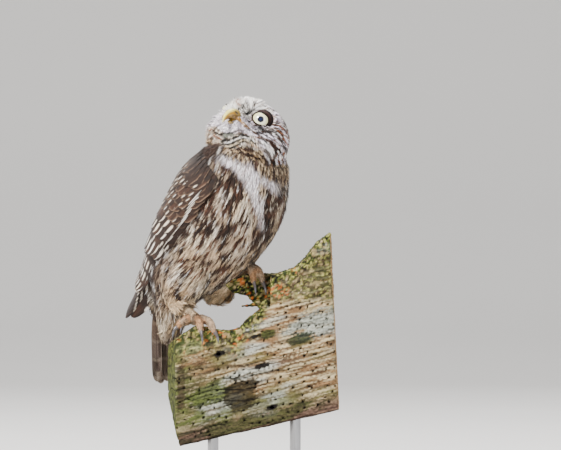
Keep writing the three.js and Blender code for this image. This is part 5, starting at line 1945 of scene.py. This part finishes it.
def vane_outline(s, blunt):
    """Share of the half width at each place from root to tip."""
    body = np.minimum(1, 0.5 + 1.9 * s)
    end = np.clip((s - blunt) / (1 - blunt), 0, 1)
    return body * np.sqrt(np.maximum(1 - end**2.4, 0))


def vane_grid(rows, columns):
    s = np.linspace(0, 1, rows)
    s = 1 - (1 - s) ** 1.15
    x = np.linspace(-1, 1, columns)
    r, c = np.meshgrid(np.arange(rows - 1), np.arange(columns - 1), indexing="ij")
    a = (r * columns + c).ravel()
    faces = np.stack([a, a + 1, a + columns + 1, a + columns], -1)
    return np.meshgrid(s, x, indexing="ij"), faces


def shell_vane(side, root, tip, width, blunt=0.72, tilt=0.8, arch=0.5, flat=False):
    """A vane on the wing's shell. Root and tip are (along, degrees round, height)."""
    length = abs(tip[0] - root[0])
    rows, columns = max(12, int(length / 0.8)), max(11, int(width / 0.6) | 1)
    (s, x), faces = vane_grid(rows, columns)
    along = root[0] + (tip[0] - root[0]) * s
    turn = root[1] + (tip[1] - root[1]) * s
    height = root[2] + (tip[2] - root[2]) * s**0.8
    middle = wing_point(along, turn, height, side)
    over = unit(wing_point(along, turn + 1, height, side) - wing_point(along, turn - 1, height, side))
    half = 0.5 * width * vane_outline(s, blunt)
    camber = tilt * x - arch * x**2 + 0.16 * np.exp(-((x / 0.09) ** 2))
    if flat:
        out = wing_point(along, turn, height + 1, side) - middle
        out = unit(out - (out * over).sum(-1, keepdims=True) * over)
        points = middle + over * (x * half)[..., None] + out * camber[..., None]
    else:
        step_size = np.linalg.norm(wing_point(along, turn + 1, height, side) - middle, axis=-1)
        points = wing_point(along, turn + x * half / step_size, height + camber, side)
    return points.reshape(-1, 3), faces, s.ravel(), x.ravel(), length


def drop(s, x, place, across, long, wide):
    """A pale drop-shaped spot, 1 inside."""
    ahead = (s - place) / long
    wide = wide * (1 + 0.15 * np.sin(17 * place + 40 * s.mean()))
    return step(1.15, 0.75, np.hypot(ahead, (x - across) / (wide * (1 - 0.35 * np.clip(ahead, -1, 1)))))


# Drops on each kind of feather: place along and across, length, width, least lottery number, strength
DROPS = {
    "scapular": [(0.72, 0.42, 0.18, 0.2, 0, 1), (0.7, -0.45, 0.14, 0.16, 0.5, 1)],
    "greater": [
        (0.8, 0.4, 0.19, 0.13, 0, 1),
        (0.56, 0.62, 0.1, 0.09, 0.4, 1),
        (0.84, -0.5, 0.11, 0.1, 0.6, 1),
    ],
    "secondary": [(place, 0.55, 0.08, 0.13, 0, 1) for place in (0.5, 0.7, 0.9)]
    + [(place, -0.75, 0.03, 0.2, 0, 0.6) for place in (0.48, 0.68, 0.88)],
    "primary": [(place, 0.85, 0.03, 0.3, 0, 0.75) for place in (0.42, 0.56, 0.7, 0.84)],
}


def vane_colour(kind, s, x, length, lottery):
    """Dark brown webs with pale drops in rows, as each kind of feather has them."""
    barbs = np.sin((s * length - np.abs(x) * 3.0) * 3.4 + 5 * lottery) * 0.5 + 0.5
    patchy = noise(np.stack([s * length * 0.14, x * 1.3, np.full_like(s, lottery * 50)], -1), 1.0, 701)
    colour = mix(CHOCOLATE * 0.5, BROWN * 0.85, 0.08 + 0.4 * patchy + 0.2 * barbs)
    colour = mix(colour, RUFOUS, 0.1 * step(0.55, 0.9, patchy))
    spot = np.zeros_like(s)
    if kind in ("lesser", "shoulder"):
        spot = drop(s, x, 0.82, 0.1, 0.13, 0.07 + 0.1 * lottery) * (lottery > 0.25)
        edge = step(0.72, 1.0, np.abs(x)) * step(0.35, 0.6, patchy)
        colour = mix(colour, mix(BUFF, PINK, 0.5), 0.14 * step(0.86, 1.0, s) + 0.3 * edge)
    elif kind == "median":
        spot = drop(s, x, 0.78, 0.35, 0.17 + 0.07 * lottery, 0.1 + 0.08 * lottery) * (lottery > 0.3)
    elif kind == "secondary":
        spot = step(0.965, 0.99, s) * 0.5
    elif kind == "primary":
        colour = colour * 0.7
    elif kind == "edge":
        spot = step(0.0, 0.3, x) * (1 - step(0.85, 1.0, s))
        spot = spot * (0.75 + 0.25 * step(0.3, 0.5, patchy))
    for place, across, long, wide, least, strength in DROPS.get(kind, ()):
        if lottery >= least:
            spot = np.maximum(spot, drop(s, x, place, across, long, wide) * strength)
    pale = mix(WHITE, CREAM, 0.25 + 0.5 * lottery)
    colour = mix(colour, pale, spot * 0.95)
    shaft = np.exp(-((x / 0.07) ** 2)) * step(1.0, 0.8, s)
    colour = mix(colour, DARK, shaft * 0.55)
    # Loose dark root, shaded by the feather above
    shade = 0.6 if kind == "shoulder" else 0.35
    colour = colour * (shade + (1 - shade) * step(0.0, 0.45, s))[:, None]
    return colour * (1 + 0.16 * (barbs - 0.5))[:, None]


class Vanes(Coat):
    def put(self, kind, made, lottery, place):
        points, faces, s, x, length = made
        colours = vane_colour(kind, s, x, length, lottery)
        patch = np.array(place) + PATCH * (np.stack([0.5 + 0.48 * x, s], -1) - 0.5)
        self.add(points, faces, colours, patch)

    def build(self, slot="plumage", *replaced):
        self.faces = [np.vstack([f[:, [0, 1, 2]], f[:, [0, 2, 3]]]) for f in self.faces]
        Coat.build(self, slot, *replaced)


# Under-layer: mm from the shoulder, and heights of its outer and inner face over the shell
CORE_HEIGHTS = [
    (-8, -5.5, -14), (6, -2.6, -13), (18, -1.6, -12), (48, -2.2, -9), (80, -3.2, -8), (100, -4.0, -7),
]
CORE_END = 100


def wing_core(side, name):
    """The under-layer of the wing that carries the vanes, painted near black as shade under and between them.
    """
    u, v = np.linspace(0, 1, 44), np.linspace(0, 1, 30)
    along = WING_FRONT + (CORE_END - WING_FRONT) * u
    share = (along - WING_FRONT) / (WING_LENGTH - WING_FRONT)
    upper = curve([[r[0], 0] for r in WING_UPPER_EDGE], share)[:, 0] + 8
    lower = curve([[r[0], 0] for r in WING_LOWER_EDGE], share)[:, 0] - 4
    turn = upper[:, None] + (lower - upper)[:, None] * v[None]
    outer = wing_point(along[:, None], turn, read_off(CORE_HEIGHTS, along, 1)[:, None], side)
    inner = wing_point(along[:, None], turn, read_off(CORE_HEIGHTS, along, 2)[:, None], side)
    rings = np.concatenate([outer, inner[:, ::-1]], 1)
    points, faces = loft(rings)
    # Painted shade: a darkened chocolate, where only shade shows between the vanes
    dark = np.repeat((CHOCOLATE * 0.5)[None], len(points), 0)
    painted_piece(f"wing_{name}_core", to_world(points), faces, SHADED_UNDERLAYER, dark, "plumage", f"wing_{name}")


# Rows of coverts: kind, feathers in the row, root, tips at the upper and lower edge, edges in degrees,
# heights of root and tip, width
COVERT_ROWS = [
    ("shoulder", 9, -11, (6, 6), (34, 100), (-2.5, 2.2), 9.0),
    ("shoulder", 10, -8, (9, 8), (30, 104), (-0.5, 2.6), 9.0),
    ("shoulder", 11, -4, (15, 13), (26, 106), (0.6, 3.0), 9.0),
    ("lesser", 11, 4, (21, 18), (30, 108), (1.2, 3.1), 9.0),
    ("lesser", 12, 10, (28, 24), (28, 110), (1.2, 3.0), 9.0),
    ("lesser", 11, 16, (35, 31), (28, 111), (1.2, 2.9), 9.5),
    ("lesser", 11, 22, (43, 38), (27, 111), (1.1, 2.8), 9.5),
    ("median", 10, 28, (54, 47), (26, 110), (0.9, 2.5), 11.0),
    ("median", 9, 34, (66, 57), (25, 109), (0.7, 2.2), 12.0),
    ("greater", 9, 40, (90, 75), (23, 107), (0.2, 1.7), 12.5),
    ("secondary", 9, 60, (107, 118), (20, 92), (-1.8, 0.4), 12.5),
]
# Scapulars: feathers in the row, root and tip, and the degrees they spread over
SCAPULAR_ROWS = [(3, 8, 24), (4, 14, 32), (4, 22, 42), (4, 30, 52)]
SCAPULAR_SPREAD = (12, 44)
# Primaries: tip, degrees round and height
PRIMARY_TIPS = [
    (114, 60, -2.2), (121, 64, -2.8), (128, 68, -3.5), (134, 72, -4.1), (139, 76, -4.7), (143, 79, -5.2),
    (146, 82, -5.7),
]
# Pale feathers along the wing's outer edge: how many, their spacing and length
EDGE_FEATHERS = 15
EDGE_SPACING = 3.6
EDGE_LENGTH = 16


def make_wing(side, name, rng):
    vanes = Vanes(f"wing_{name}_vanes")
    base_u = 0.27 if side > 0 else 0.77

    def place(along, turn):
        return (base_u + 0.0015 * turn, 0.06 + 0.003 * along)

    for tip, turn, height in PRIMARY_TIPS:
        ends = (66, 99, height - 0.6), (tip, turn, height)
        made = shell_vane(side, *ends, 9.5, blunt=0.8, tilt=0.3, arch=0.3, flat=True)
        vanes.put("primary", made, rng.random(), place(tip, turn))
    for kind, count, root, tips, edges, heights, width in reversed(COVERT_ROWS):
        for i in range(count):
            share = i / (count - 1)
            loose = rng.normal(0, 0.8, 3)
            turn = edges[0] + (edges[1] - edges[0]) * share + 0.6 * loose[0]
            tip = tips[0] + (tips[1] - tips[0]) * share + loose[1]
            tip_turn = turn - 3 - 3 * (1 - share) + 0.5 * loose[2]
            ends = (root, turn, heights[0]), (tip, tip_turn, heights[1])
            made = shell_vane(side, *ends, width * (1 + 0.06 * loose[2]))
            vanes.put(kind, made, rng.random(), place(root, turn))
    for row, (count, root, tip) in enumerate(SCAPULAR_ROWS):
        for i in range(count):
            first, last = SCAPULAR_SPREAD
            turn = first + (last - first) * (i + 0.5 * (row % 2)) / count
            ends = (root - 8, turn + 3, 1.4), (tip, turn - 2, 2.7)
            made = shell_vane(side, *ends, 11.5, blunt=0.66, tilt=0.1, arch=1.2)
            vanes.put("scapular", made, rng.random(), place(root, turn))
    for i in range(EDGE_FEATHERS):
        root = 2 + EDGE_SPACING * i
        turn = np.interp(root, [0, 12, 24, 60], [101, 107, 110.5, 109])
        tip = (root + EDGE_LENGTH, turn + 0.6, 3.7 + 0.02 * i)
        made = shell_vane(side, (root, turn, 2.6), tip, 1.3 - 0.03 * i, blunt=0.45, arch=0.9)
        vanes.put("edge", made, rng.random(), place(root, 112))
    vanes.build()


# Tail: pairs of feathers and their places in mm, as in the part's source
TAIL_PAIRS = 6
TAIL_WIDTH = 10.4
TAIL_MIDDLE = 0.8
TAIL_FIRST = 5.5
TAIL_STEP = 0.75
TAIL_LEVEL = 0.82
TAIL_SHORTER = 1.5
TAIL_BARS = 13.5


def tail_colour(s, x, length, lottery):
    """Grey-brown webs with weak pale bars, paler at the edges and the tip."""
    barbs = np.sin((s * length - np.abs(x) * 3.0) * 3.4) * 0.5 + 0.5
    patchy = noise(np.stack([s * 8, x * 1.5, np.full_like(s, lottery * 50)], -1), 1.0, 711)
    colour = mix(srgb(74, 58, 50), srgb(150, 130, 120), step(0.35, 0.7, patchy) * 0.7 + 0.2 * barbs)
    bars = step(0.78, 0.95, np.cos((s * length / TAIL_BARS + 0.12 * np.abs(x)) * math.tau))
    colour = mix(colour, srgb(196, 178, 160), bars * 0.45 * step(0.1, 0.35, s))
    colour = mix(colour, srgb(196, 180, 164), 0.6 * step(0.82, 1.0, np.abs(x)))
    colour = mix(colour, srgb(206, 190, 172), 0.7 * step(0.965, 1.0, s))
    colour = mix(colour, CHOCOLATE, np.exp(-((x / 0.07) ** 2)) * 0.6)
    return colour * (1 + 0.16 * (barbs - 0.5))[:, None]


def make_tail(rng):
    vanes = Vanes("tail_vanes")
    down = unit(TAIL_TIP - TAIL_ROOT)
    back = np.array([down[2], 0, -down[0]])
    whole = float(np.linalg.norm(TAIL_TIP - TAIL_ROOT))
    for side in (1, -1):
        for pair in range(TAIL_PAIRS):
            # The middle pair lies on top, its left feather over its right one
            layer = TAIL_PAIRS - 1 - pair if pair else TAIL_PAIRS - (side < 0)
            sideways = side * (TAIL_FIRST + (pair - 1) * TAIL_STEP if pair else TAIL_MIDDLE)
            length = whole - TAIL_SHORTER * pair
            (s, x), faces = vane_grid(64, 15)
            half = 0.5 * TAIL_WIDTH * np.minimum(1, 0.62 + s) * vane_outline(s, 0.86)
            out = sideways * np.minimum(1, 0.5 + s) + x * half
            bow = 0.5 * np.sin(s * math.pi) + 0.14 * np.exp(-((x / 0.08) ** 2)) - 0.35 * x**2
            height = layer * TAIL_LEVEL + bow
            middle = TAIL_ROOT + down * (length * s)[..., None] + back * height[..., None]
            points = (middle + np.array([0, 1, 0]) * out[..., None]).reshape(-1, 3)
            s, x = s.ravel(), x.ravel()
            spot = np.array([0.52 + 0.004 * sideways, 0.012 + 0.003 * pair])
            patch = spot + PATCH * (np.stack([0.5 + 0.48 * x, s], -1) - 0.5)
            vanes.add(points, faces, tail_colour(s, x, length, rng.random()), patch)
    vanes.build("plumage", "tail")


quill_rng = np.random.default_rng(47)
for side, name in ((1, "left"), (-1, "right")):
    wing_core(side, name)
    make_wing(side, name, quill_rng)
make_tail(quill_rng)
